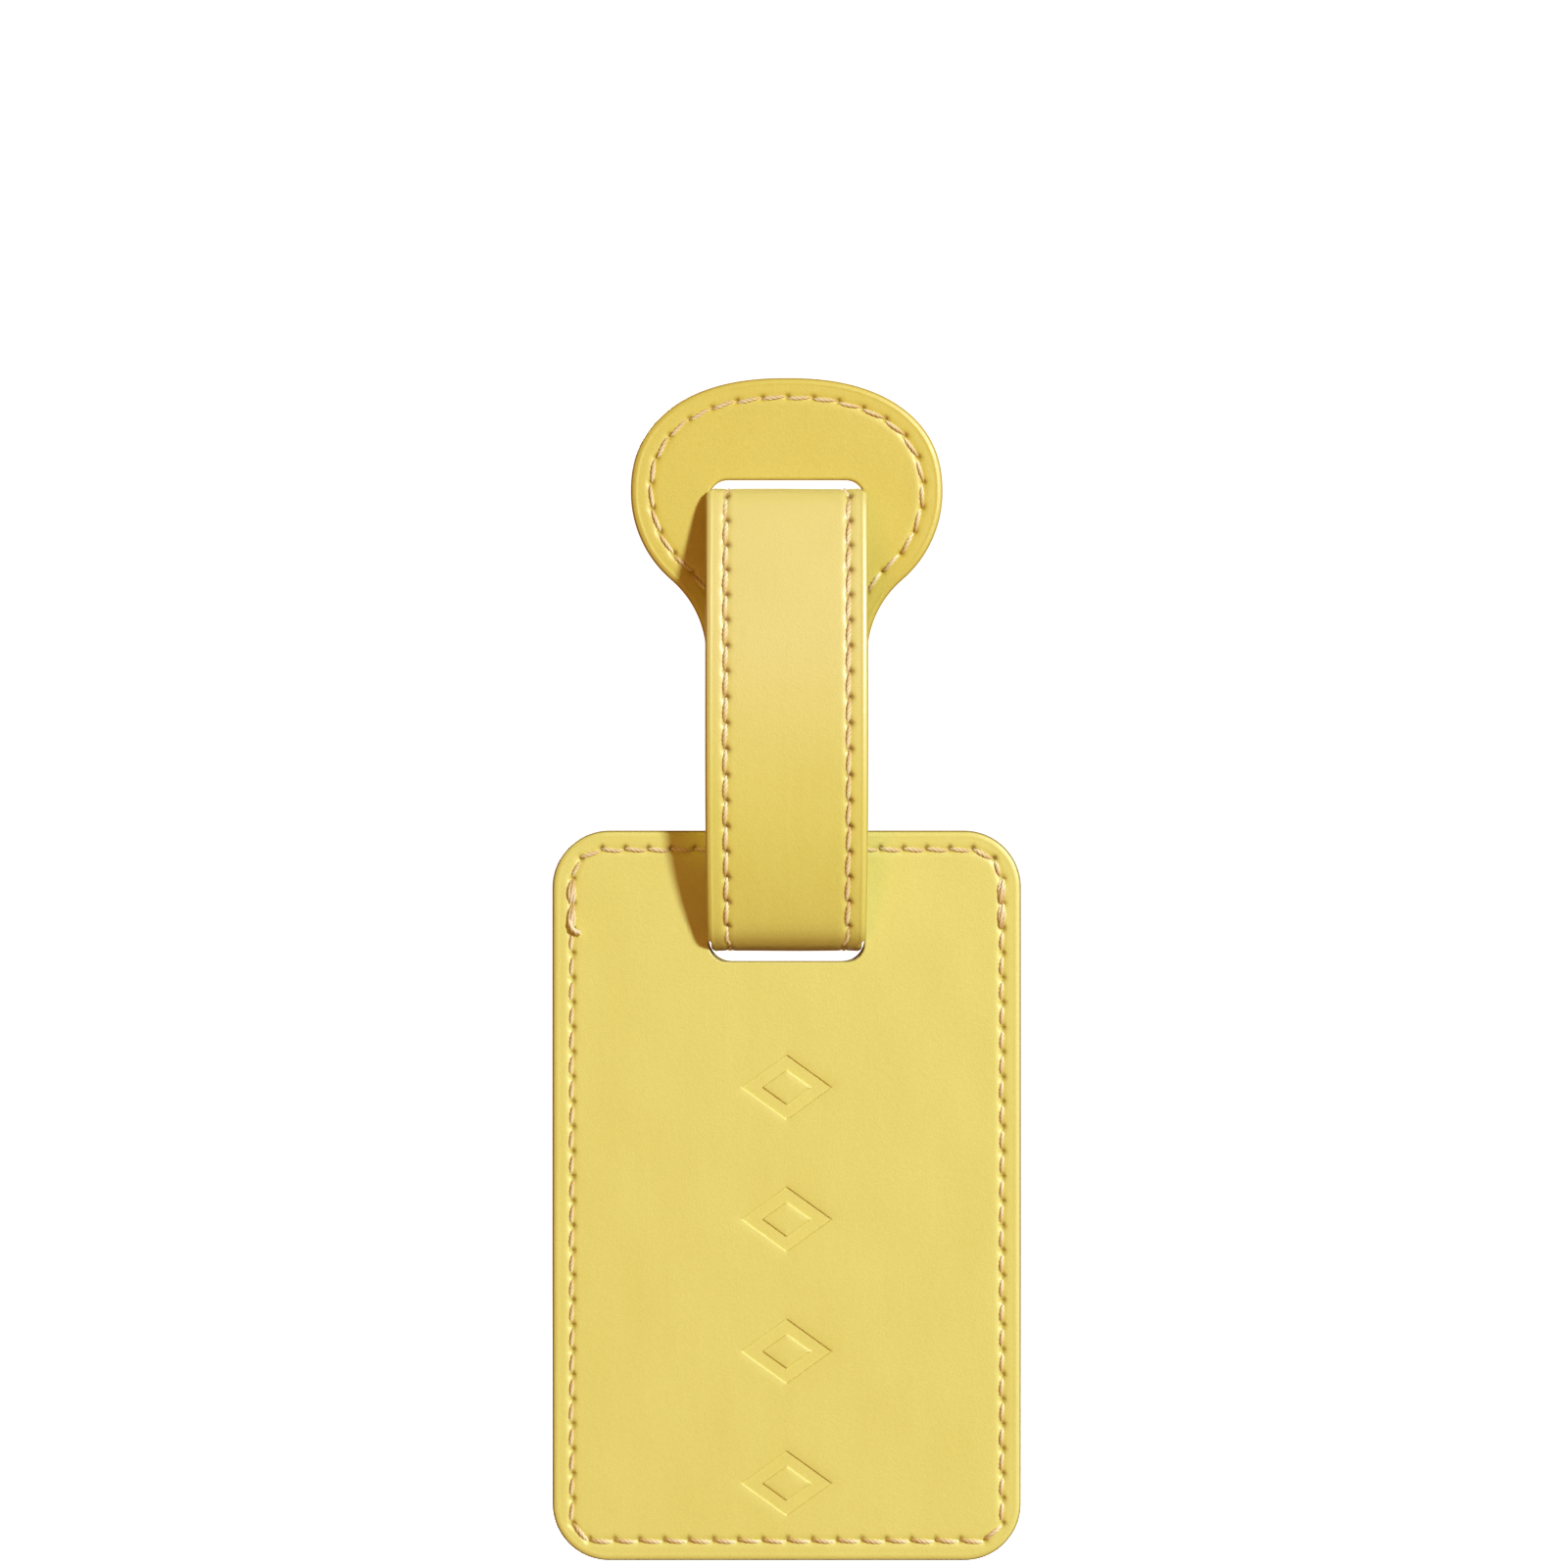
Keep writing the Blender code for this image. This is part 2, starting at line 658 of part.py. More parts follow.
def main():
    clear_scene()
    finishes = {
        "leather": material("yellow_leather", (0.78, 0.62, 0.14), 0.45),
        "thread": material("cream_thread", (0.82, 0.70, 0.42), 0.6),
        "tape": material("woven_tape", (0.75, 0.72, 0.66), 0.85),
        "board": material("fibre_board", (0.45, 0.34, 0.22), 0.9),
        "film": material("clear_film", (0.85, 0.88, 0.9), 0.08),
        "card": material("card_stock", (0.93, 0.91, 0.85), 0.7),
    }
    strap_pieces = make_strap(finishes)
    tag_pieces, card = make_tag(finishes)

    loop_pivot = add_pivot("handle_loop_pivot", (0.0, 0.0, 0.0))
    swing_pivot = add_pivot("tag_swing_pivot", (0.0, 0.0, TURN_CENTRE_Z))
    hang_on(loop_pivot, swing_pivot, *strap_pieces)
    hang_on(swing_pivot, card, *tag_pieces)


main()
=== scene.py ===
"""Looks of the leather luggage tag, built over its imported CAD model.

Patterns are flat and in millimetres: (x, z) for the tag body, (x, s) for the strap, with s the
length along the strip. Each leather piece is a dense flat sheet whose faces are shaped by how far
each point lies from edges, seams, needle holes and marks. The strap's sheets are then bent along
the strap's route.
"""

import math
import random

import bmesh
import bpy
import numpy as np
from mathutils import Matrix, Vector
from mathutils.geometry import delaunay_2d_cdt


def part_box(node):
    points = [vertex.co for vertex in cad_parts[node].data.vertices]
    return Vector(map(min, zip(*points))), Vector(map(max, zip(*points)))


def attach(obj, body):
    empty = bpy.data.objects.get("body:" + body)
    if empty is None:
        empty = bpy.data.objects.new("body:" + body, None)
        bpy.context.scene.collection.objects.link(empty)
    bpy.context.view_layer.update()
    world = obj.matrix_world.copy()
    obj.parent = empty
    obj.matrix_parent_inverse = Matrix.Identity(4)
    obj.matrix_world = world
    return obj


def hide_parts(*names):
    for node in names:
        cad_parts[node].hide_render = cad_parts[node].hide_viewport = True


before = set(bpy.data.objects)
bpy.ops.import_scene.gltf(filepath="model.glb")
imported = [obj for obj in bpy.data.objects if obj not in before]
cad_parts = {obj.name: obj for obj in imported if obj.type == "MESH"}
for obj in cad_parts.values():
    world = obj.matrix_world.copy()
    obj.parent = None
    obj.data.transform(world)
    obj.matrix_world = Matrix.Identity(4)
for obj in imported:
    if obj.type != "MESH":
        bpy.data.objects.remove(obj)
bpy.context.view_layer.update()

MM = 0.001


def box_mm(node):
    low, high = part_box(node)
    return np.array(low) / MM, np.array(high) / MM


COVER_BOX = box_mm("front_cover")
BACKING_BOX = box_mm("backing_panel")
FRAME_BOX = box_mm("window_frame")
FILM_BOX = box_mm("window_film")
CARD_BOX = box_mm("address_card")
SKIN_BOX = box_mm("strap_outer_leather")

# Tag body
TAG_LEFT, TAG_RIGHT = COVER_BOX[0][0], COVER_BOX[1][0]
TAG_BOTTOM, TAG_TOP = COVER_BOX[0][2], COVER_BOX[1][2]
TAG_CORNER = 8.5
TAG_FRONT, TAG_BACK = COVER_BOX[0][1], BACKING_BOX[1][1]
TAG_MIDDLE = 0.05
SLOT_TOP, SLOT_BOTTOM = -63.3, -67.9
SLOT_BEARING_CORNER = 0.4
COVER_SLOT = (11.64, 2.6)
BACK_SLOT = (11.7, 3.4)
HEAD_SLOT = (11.6, 2.7)
SEAM_INSET = 2.9
SEAM_TOP_CORNER = 4.4
SEAM_BOTTOM_CORNER = 2.6
BOARD_ROOM = 1.0
BOARD_FACES = (-0.36, 0.56)

# Window frame on the back
MOUTH_X = FRAME_BOX[1][0]
FRAME_TOP = FRAME_BOX[1][2]
FRAME_BACK = FRAME_BOX[1][1]
FRAME_INSIDE = 2.3
RIM_WIDTH = 5.2
WINDOW_HALF = (21.0, 31.0)
WINDOW_CENTRE = ((MOUTH_X + TAG_LEFT) / 2, (FRAME_TOP + TAG_BOTTOM) / 2)
WINDOW_CORNER = 3.0
WINDOW_SEAM_OUTSET = 2.0
THUMB_NOTCH_RADIUS = 7.0

# Debossed marks
MARK_TOP_CENTRE = -86.8
MARK_SPACING = 19.8
MARK_CENTRES = [np.array([0.0, MARK_TOP_CENTRE - i * MARK_SPACING]) for i in range(4)]
MARK_HALF = (6.8, 4.9)
MARK_ISLAND = 0.52
MARK_DEPTH = 0.25
MARK_SHOULDER = 0.07

# Strap strip
STRAP_HALF_WIDTH = 12.15
STRAP_HALF_THICKNESS = 1.1
STRAP_SEAM_INSET = 2.95
TAPE_ROOM = 0.8
TAPE_FACE = 0.26
TAIL_LENGTH = 27.0
TAIL_ROUND = 9.0
HEAD_TOP = SKIN_BOX[1][2]
HEAD_WIDEST = 2.5
HEAD_HALF_WIDTH = 23.4
HEAD_POWER = 2.3
SHOULDER_RADIUS = 17.2
THROAT_RADIUS = 14.9
HEAD_SLOT_TOP = 4.35

# Route of the strap in the YZ plane, as in the CAD model
BEND_START = -4.0
TURN_CENTRE_Z = -62.0
TURN_RADIUS = 3.3
FOLD_CENTRE_Z = -0.7
FOLD_RADIUS = 2.7
RUN_LEAN = math.radians(22.0)
FOLD_LEAN = math.radians(20.0)
BACK_HANDLES = (20.0, 25.0)
FRONT_HANDLES = (22.0, 22.0)

# Sewing
TAG_PITCH = 3.75
TAG_TOP_PITCH = 3.5
WINDOW_PITCH = 3.7
STRAP_PITCH = 3.82
FRAME_ROW_ENDS = (-30.4, 26.0)
CHANNEL_WIDTH = 0.55

# Thread. PLY_VALLEY and PLY_SWELL are parts of its radius, between two plies and over one
THREAD_RADIUS = 0.31
PLIES = 3
PLY_VALLEY = 0.78
PLY_SWELL = 0.27
TWIST_LENGTH = 2.4
TUBE_SIDES = 15
STITCH_RINGS = 25
STITCH_JITTER = 0.05
STITCH_FATNESS = (0.92, 1.06)
STITCH_END = 0.42
STITCH_SINK = 0.75
# A stitch that crosses a step climbs this steeply, from this far off it
STEP_CLIMB = 1.6
STEP_REACH = 0.25

# Tack at each upper corner of the tag, three stitches of (slant, bow), and its loose end at the left
TACK_BEYOND = 31.0
TACK_HEIGHTS = (-62.0, -54.6)
TACK_STITCHES = ((0.12, 0.36), (-0.12, -0.36), (0.3, 0.0))
LOOSE_END = ((-32.7, -61.2), (-32.5, -62.3), (-32.1, -63.1), (-31.5, -63.5), (-30.9, -63.6))
LOOSE_END_LIFT = (-0.1, 0.34, 0.42, 0.36, 0.3)
LOOSE_END_RADII = (0.27, 0.46)
LOOSE_END_RINGS = 17


# ---------------- flat patterns


def arc(centre, radius, start, end, steps):
    angles = np.radians(np.linspace(start, end, steps + 1))
    return np.column_stack([centre[0] + radius * np.cos(angles), centre[1] + radius * np.sin(angles)])


def rounded_rectangle(left, bottom, right, top, lower_radius, upper_radius=None, steps=12):
    """Anticlockwise loop from the upper right corner."""
    upper = lower_radius if upper_radius is None else upper_radius
    return np.vstack(
        [
            arc((right - upper, top - upper), upper, 0, 90, steps),
            arc((left + upper, top - upper), upper, 90, 180, steps),
            arc((left + lower_radius, bottom + lower_radius), lower_radius, 180, 270, steps),
            arc((right - lower_radius, bottom + lower_radius), lower_radius, 270, 360, steps),
        ]
    )


def slot_loop(bearing, free, half_width, free_corner):
    """Slot with tight corners on the edge that the strap bears on, and round ones opposite."""
    inward = math.copysign(1, free - bearing)
    halves = []
    for edge, way, radius in ((bearing, inward, SLOT_BEARING_CORNER), (free, -inward, free_corner)):
        corner = arc((0.0, 0.0), radius, 0, 90, 8)
        right = np.column_stack(
            [half_width - radius + corner[:, 0], edge + way * (radius - corner[:, 1])]
        )
        left = right[::-1] * (-1, 1)
        halves.append(np.vstack([right, left]))
    return np.vstack([halves[0], halves[1][::-1]])


def unit(vectors):
    return vectors / np.linalg.norm(vectors, axis=1)[:, None]


def pairs(loop):
    """Each point of a loop with the next one."""
    return zip(loop, np.roll(loop, -1, axis=0))


def interpolate(at, known, path):
    """Points of a two-column path at given distances along it."""
    return np.column_stack([np.interp(at, known, path[:, k]) for k in (0, 1)])


def resample(loop, step, closed=True):
    """The loop with its points a step apart, along its length."""
    path = np.vstack([loop, loop[:1]]) if closed else loop
    lengths = np.hypot(*np.diff(path, axis=0).T)
    path = path[np.append(True, lengths > 1e-6)]
    lengths = lengths[lengths > 1e-6]
    along = np.append(0.0, np.cumsum(lengths))
    count = max(int(round(along[-1] / step)), 8)
    at = np.linspace(0, along[-1], count, endpoint=not closed)
    return interpolate(at, along, path)


def loop_area(loop):
    ahead = np.roll(loop, -1, axis=0)
    return 0.5 * np.sum(loop[:, 0] * ahead[:, 1] - loop[:, 1] * ahead[:, 0])


def rings(loop, offsets, step, closed=True):
    """Points of the loop moved sideways by each offset, a positive one to the inside of a closed loop."""
    dense = resample(loop, step, closed)
    if closed:
        heading = np.roll(dense, -1, axis=0) - np.roll(dense, 1, axis=0)
        turn = math.copysign(1, loop_area(dense))
    else:
        heading = np.gradient(dense, axis=0)
        turn = 1
    heading = unit(heading)
    inward = np.column_stack([-heading[:, 1], heading[:, 0]]) * turn
    return np.vstack([dense + inward * offset for offset in offsets])


def distance_to(points, path, closed=True):
    """Each point's distance from a polyline."""
    starts = path if closed else path[:-1]
    ends = np.roll(path, -1, axis=0) if closed else path[1:]
    best = np.full(len(points), 1e9)
    for start, end in zip(starts, ends):
        edge = end - start
        length = edge @ edge
        if length < 1e-12:
            continue
        t = np.clip(((points - start) @ edge) / length, 0, 1)
        away = points - start - t[:, None] * edge
        best = np.minimum(best, np.einsum("ij,ij->i", away, away))
    return np.sqrt(best)


def distance_to_points(points, others):
    best = np.full(len(points), 1e9)
    for other in others:
        away = points - other
        best = np.minimum(best, np.einsum("ij,ij->i", away, away))
    return np.sqrt(best)


def inside(points, loop):
    """True for each point inside the loop, by counting crossings."""
    found = np.zeros(len(points), bool)
    x, y = points[:, 0], points[:, 1]
    for (x0, y0), (x1, y1) in pairs(loop):
        if y0 == y1:
            continue
        crosses = (y0 > y) != (y1 > y)
        found ^= crosses & (x < x0 + (y - y0) * (x1 - x0) / (y1 - y0))
    return found


def triangulate(outline, holes, cloud, step):
    """Triangles that fill the outline, without its holes, through the points of the cloud."""
    loops = [resample(loop, step) for loop in [outline, *holes]]
    keep = inside(cloud, outline)
    for hole in holes:
        keep &= ~inside(cloud, hole)
    for loop in (outline, *holes):
        keep &= distance_to(cloud, loop) > 0.025
    cloud = cloud[keep]
    edges = []
    first = 0
    for loop in loops:
        count = len(loop)
        edges += [(first + i, first + (i + 1) % count) for i in range(count)]
        first += count
    everything = np.vstack([*loops, cloud])
    found = delaunay_2d_cdt([Vector(p) for p in everything.tolist()], edges, [], 0, 1e-4, True)
    points = np.array([tuple(p) for p in found[0]])
    triangles = np.array([tuple(f) for f in found[2]])
    in_cloud = np.array([max(ids, default=0) >= first for ids in found[3]])
    # Only a triangle whose corners are all on the loops can lie outside them
    keep = in_cloud[triangles].any(axis=1)
    doubtful = np.flatnonzero(~keep)
    middles = points[triangles[doubtful]].mean(axis=1)
    within = inside(middles, loops[0])
    for hole in loops[1:]:
        within &= ~inside(middles, hole)
    keep[doubtful] = within
    triangles = triangles[keep]
    used = np.unique(triangles)
    fresh = np.full(len(points), -1)
    fresh[used] = np.arange(len(used))
    return points[used], fresh[triangles]


# ---------------- relief


def bell(distance, width):
    return np.exp(-((distance / width) ** 2))


def ramp(values, low, high):
    t = np.clip((values - low) / (high - low), 0, 1)
    return t * t * (3 - 2 * t)


def rounding(edge_distance, width, drop):
    """How far an edge rolled over its width falls below the face."""
    inward = np.clip(1 - edge_distance / width, 0, 1)
    return drop * (1 - np.sqrt(np.maximum(1 - inward**2, 0)))


def ripple(points, seed, amplitude, wavelength):
    """A gentle unevenness: a sum of waves in random directions."""
    draw = np.random.default_rng(seed)
    height = np.zeros(len(points))
    for _ in range(9):
        angle = draw.uniform(0, 2 * np.pi)
        length = wavelength * draw.uniform(0.6, 1.9)
        wave = points @ np.array([math.cos(angle), math.sin(angle)]) * 2 * np.pi / length
        height += np.sin(wave + draw.uniform(0, 2 * np.pi))
    return height * amplitude / 3


def seam_relief(points, holes, closed=True, depth=0.15, shift=(0.14, 0.1), spread=1.0):
    """(depth, painted shade) of the channel and the needle holes of a row of stitches.

    Each hole, and the painted shade in it, lies a little to one side of the thread, on the side where its
    shadow falls. The darkening along the channel is painted shade too.
    """
    channel = bell(distance_to(points, holes, closed), CHANNEL_WIDTH)
    shift = np.array(shift)
    hole = np.maximum(
        bell(distance_to_points(points, holes + shift), 0.34 * spread),
        0.8 * bell(distance_to_points(points, holes + shift * 2.2), 0.26 * spread),
    )
    pulled = bell(distance_to_points(points, holes), 1.0) * channel
    return depth * channel + 0.12 * pulled + 0.4 * hole, np.clip(0.08 * channel + 0.85 * hole, 0, 1)


def row_shifts(holes):
    """Where each hole of the tag's seam opens, and where its painted shade lies: above a row that runs
    across, beside one that runs down.
    """
    ahead = np.roll(holes, -1, axis=0) - np.roll(holes, 1, axis=0)
    across = np.abs(ahead[:, 0]) > np.abs(ahead[:, 1])
    return np.where(across[:, None], (0.05, 0.24), (0.15, 0.06))


def lozenge_distance(points, centre, half):
    """Signed distance from a lozenge's edge, negative inside."""
    across, up = half
    away = np.abs(points - centre)
    return (away[:, 0] * up + away[:, 1] * across - across * up) / math.hypot(across, up)


# ---------------- meshes


def new_object(name, points, faces, finish, body, replaced, smooth_angle=50.0):
    """A piece of the object, from points in millimetres, riding on a body."""
    mesh = bpy.data.meshes.new(name)
    mesh.from_pydata((np.asarray(points) * MM).tolist(), [], [tuple(face) for face in faces])
    mesh.validate()
    work = bmesh.new()
    work.from_mesh(mesh)
    bmesh.ops.recalc_face_normals(work, faces=work.faces)
    work.to_mesh(mesh)
    work.free()
    mesh.materials.append(finish)
    made = bpy.data.objects.new(name, mesh)
    bpy.context.scene.collection.objects.link(made)
    mesh.shade_smooth()
    mesh.set_sharp_from_angle(angle=math.radians(smooth_angle))
    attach(made, body)
    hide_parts(*replaced)
    return made


def paint(made, **values):
    """Stores one number per point under each name, for the material to read."""
    for name, numbers in values.items():
        layer = made.data.attributes.new(name, "FLOAT", "POINT")
        layer.data.foreach_set("value", np.asarray(numbers, np.float32))


def sheet_faces(triangles, count):
    """Faces of a closed sheet: its top, its bottom and the walls round their edges."""
    faces = triangles.tolist()
    faces += (triangles[:, ::-1] + count).tolist()
    ends = np.vstack([triangles[:, [0, 1]], triangles[:, [1, 2]], triangles[:, [2, 0]]])
    known = set(map(tuple, ends.tolist()))
    for a, b in ends.tolist():
        if (b, a) not in known:
            faces.append((b, a, a + count, b + count))
    return faces


def sheet(name, layers, triangles, finish, body, node):
    """A closed sheet between two layers of points that share their triangles."""
    faces = sheet_faces(triangles, len(layers[0]))
    return new_object(name, np.vstack(layers), faces, finish, body, [node])


def paint_leather(made, rim, dark):
    """Paints the face's edges, and its painted shade in needle holes, along seams and at the strap's turn.
    The side that is glued down is all edge.
    """
    paint(
        made,
        edge=np.concatenate([rim, np.ones(len(rim))]),
        press=np.concatenate([dark, np.zeros(len(dark))]),
    )


def upright(flat, level):
    return np.column_stack([flat[:, 0], level, flat[:, 1]])


# ---------------- the strap's route


def bezier(p0, p1, p2, p3, steps):
    t = np.linspace(0, 1, steps + 1)[1:, None]
    u = 1 - t
    return p0 * u**3 + 3 * p1 * u * u * t + 3 * p2 * u * t * t + p3 * t**3


def strap_route():
    """The strip's middle line in (y, z), from the head's top to the tail's end, as a dense line."""
    start = np.array([0.0, BEND_START])
    neck = np.linspace((0.0, HEAD_TOP), start, 60)
    turn = np.array([0.0, TURN_CENTRE_Z])
    lean = np.array([math.sin(RUN_LEAN), math.cos(RUN_LEAN)])
    turn_back = turn + TURN_RADIUS * np.array([lean[1], -lean[0]])
    back = bezier(
        start, start - (0.0, BACK_HANDLES[0]), turn_back + lean * BACK_HANDLES[1], turn_back, 200
    )
    angles = np.linspace(-RUN_LEAN, RUN_LEAN - math.pi, 61)[1:]
    under = turn + TURN_RADIUS * np.column_stack([np.cos(angles), np.sin(angles)])
    fold = np.array([0.0, FOLD_CENTRE_Z])
    rise = np.array([math.sin(FOLD_LEAN), math.cos(FOLD_LEAN)])
    fold_front = fold + FOLD_RADIUS * np.array([-rise[1], rise[0]])
    leave = under[-1] + np.array([-lean[0], lean[1]]) * FRONT_HANDLES[0]
    front = bezier(under[-1], leave, fold_front - rise * FRONT_HANDLES[1], fold_front, 200)
    angles = np.linspace(math.pi - FOLD_LEAN, 0.0, 61)[1:]
    over = fold + FOLD_RADIUS * np.column_stack([np.cos(angles), np.sin(angles)])
    line = np.vstack([fold, start, back])
    heading = unit(np.gradient(line, axis=0))
    tail = line[1:] + np.column_stack([-heading[1:, 1], heading[1:, 0]]) * FOLD_RADIUS
    lengths = np.cumsum(np.hypot(*np.diff(np.vstack([over[-1], tail]), axis=0).T))
    tail = tail[: int(np.searchsorted(lengths, TAIL_LENGTH)) + 1]
    return np.vstack([neck, back, under, front, over, tail])


ROUTE = strap_route()
ROUTE_AT = np.append(0.0, np.cumsum(np.hypot(*np.diff(ROUTE, axis=0).T)))
STRAP_LENGTH = ROUTE_AT[-1]


def smooth_route(step=0.4, passes=3):
    """Evenly spaced points of the route and the way off it, with small kinks evened out."""
    at = np.linspace(0, STRAP_LENGTH, int(STRAP_LENGTH / step))
    line = interpolate(at, ROUTE_AT, ROUTE)
    for _ in range(passes):
        line[1:-1] = line[1:-1] * 0.5 + (line[:-2] + line[2:]) * 0.25
    heading = unit(np.gradient(line, axis=0))
    return at, line, np.column_stack([-heading[:, 1], heading[:, 0]])


SMOOTH_AT, SMOOTH_LINE, SMOOTH_OFF = smooth_route()
TURN_AT = ROUTE_AT[int(np.argmin(ROUTE[:, 1]))]
FOLD_AT = ROUTE_AT[int(np.argmax(ROUTE[:, 1] * (ROUTE_AT > TURN_AT)))]
TURN_SPAN = 5.0
# Painted sheen: the outer skin's front run is paler towards its top, by up to this share, between these
# heights
SHEEN_PAINT = 0.6
SHEEN_PAINT_HEIGHTS = (-50.0, -14.0)
# Painted shade at the turn of the strap's loop, where it bends under
TURN_PAINTED_SHADE = 0.78
TURN_WAIST = 0.018
WAIST_LENGTH = 14.0
SLOT_PINCH = 0.053
HEAD_PINCH = 0.058
# How far off the plane of the slot the pinch begins to let go, and where it is gone
SLOT_PINCH_REACH = (2.6, 3.3)
HEAD_PINCH_REACH = (1.15, 1.7)
PINCH_WINDOW = (5.0, 9.0)


def bend(flat, level):
    """Places points of the strap's pattern (x, s) at a level off the strip's middle, along the route."""
    s = np.clip(flat[:, 1], 0, STRAP_LENGTH)
    line = interpolate(s, SMOOTH_AT, SMOOTH_LINE)
    off = unit(interpolate(s, SMOOTH_AT, SMOOTH_OFF))
    place = line + off * np.asarray(level)[:, None]
    squeeze = 1 - TURN_WAIST * bell(s - TURN_AT, WAIST_LENGTH)
    away = np.abs(place[:, 0])
    for pinch, at, reach in (
        (SLOT_PINCH, TURN_AT, SLOT_PINCH_REACH),
        (HEAD_PINCH, FOLD_AT, HEAD_PINCH_REACH),
    ):
        near = 1 - ramp(np.abs(s - at), *PINCH_WINDOW)
        squeeze -= pinch * near * (1 - ramp(away, *reach))
    return np.column_stack([flat[:, 0] * squeeze, place])


def strap_outline(inset=0.0):
    """Closed outline of the strip in (x, s)."""
    half_height = HEAD_TOP - HEAD_WIDEST
    angles = np.linspace(0, np.pi / 2, 40)
    power = 2 / HEAD_POWER
    head = np.column_stack(
        [HEAD_HALF_WIDTH * np.sin(angles) ** power, half_height * (1 - np.cos(angles) ** power)]
    )
    fall = HEAD_HALF_WIDTH - STRAP_HALF_WIDTH
    sweep = math.degrees(math.acos(1 - fall / (SHOULDER_RADIUS + THROAT_RADIUS)))
    shoulder = arc((HEAD_HALF_WIDTH - SHOULDER_RADIUS, half_height), SHOULDER_RADIUS, 0, sweep, 16)[1:]
    drop = (SHOULDER_RADIUS + THROAT_RADIUS) * math.sin(math.radians(sweep))
    throat = arc(
        (STRAP_HALF_WIDTH + THROAT_RADIUS, half_height + drop), THROAT_RADIUS, 180 + sweep, 180, 16
    )[1:]
    angles = np.linspace(0, np.pi / 2, 24)
    tail = np.column_stack(
        [STRAP_HALF_WIDTH * np.cos(angles), STRAP_LENGTH - TAIL_ROUND * (1 - np.sin(angles))]
    )
    right = np.vstack([head, shoulder, throat, tail])
    loop = np.vstack([right, right[-2:0:-1] * (-1, 1)])
    if inset:
        loop = rings(loop, (inset,), 0.5)
    return loop


# ---------------- rows of stitches


def evenly(start, end, pitch):
    """Points from start up to, but without, end, about a pitch apart."""
    start, end = np.asarray(start, float), np.asarray(end, float)
    count = max(int(round(np.linalg.norm(end - start) / pitch)), 1)
    return [start + (end - start) * i / count for i in range(count)]


def tag_holes():
    """Needle holes of the seam round the tag, clockwise from the upper left."""
    left, right = TAG_LEFT + SEAM_INSET, TAG_RIGHT - SEAM_INSET
    bottom, top = TAG_BOTTOM + SEAM_INSET, TAG_TOP - SEAM_INSET
    upper, lower = SEAM_TOP_CORNER, SEAM_BOTTOM_CORNER
    reach = upper * (1 - math.sqrt(0.5))
    holes = evenly((left + upper, top), (right - upper, top), TAG_TOP_PITCH)
    holes += [(right - upper, top), (right - reach, top - reach)]
    holes += evenly((right, top - upper), (right, bottom + lower), TAG_PITCH)
    holes += [(right, bottom + lower)]
    holes += evenly((right - lower, bottom), (left + lower, bottom), TAG_PITCH)
    holes += [(left + lower, bottom)]
    holes += evenly((left, bottom + lower), (left, top - upper), TAG_PITCH)
    holes += [(left, top - upper), (left + reach, top - reach)]
    return np.array(holes)


def twisted_tube(centres, ups, radii, turns, phase):
    """Rings of a tube of twisted plies along a line, its faces, and how far each point is up a ply."""
    sides = TUBE_SIDES
    heading = unit(np.gradient(centres, axis=0))
    across = unit(np.cross(ups, heading))
    over = np.cross(heading, across)
    around = np.linspace(0, 2 * np.pi, sides, endpoint=False)
    t = np.linspace(0, 1, len(centres))
    points, plies = [], []
    for i in range(len(centres)):
        ply = np.abs(np.cos(PLIES / 2 * (around - phase - 2 * np.pi * turns * t[i])))
        r = radii[i] * (PLY_VALLEY + PLY_SWELL * ply)
        plies.append(ply)
        points.append(
            centres[i] + np.outer(np.cos(around) * r, across[i]) + np.outer(np.sin(around) * r, over[i])
        )
    faces = []
    for i in range(len(centres) - 1):
        a, b = i * sides, (i + 1) * sides
        for k in range(sides):
            m = (k + 1) % sides
            faces.append((a + k, a + m, b + m, b + k))
    faces.append(tuple(reversed(range(sides))))
    last = (len(centres) - 1) * sides
    faces.append(tuple(range(last, last + sides)))
    return np.vstack(points), faces, np.concatenate(plies)


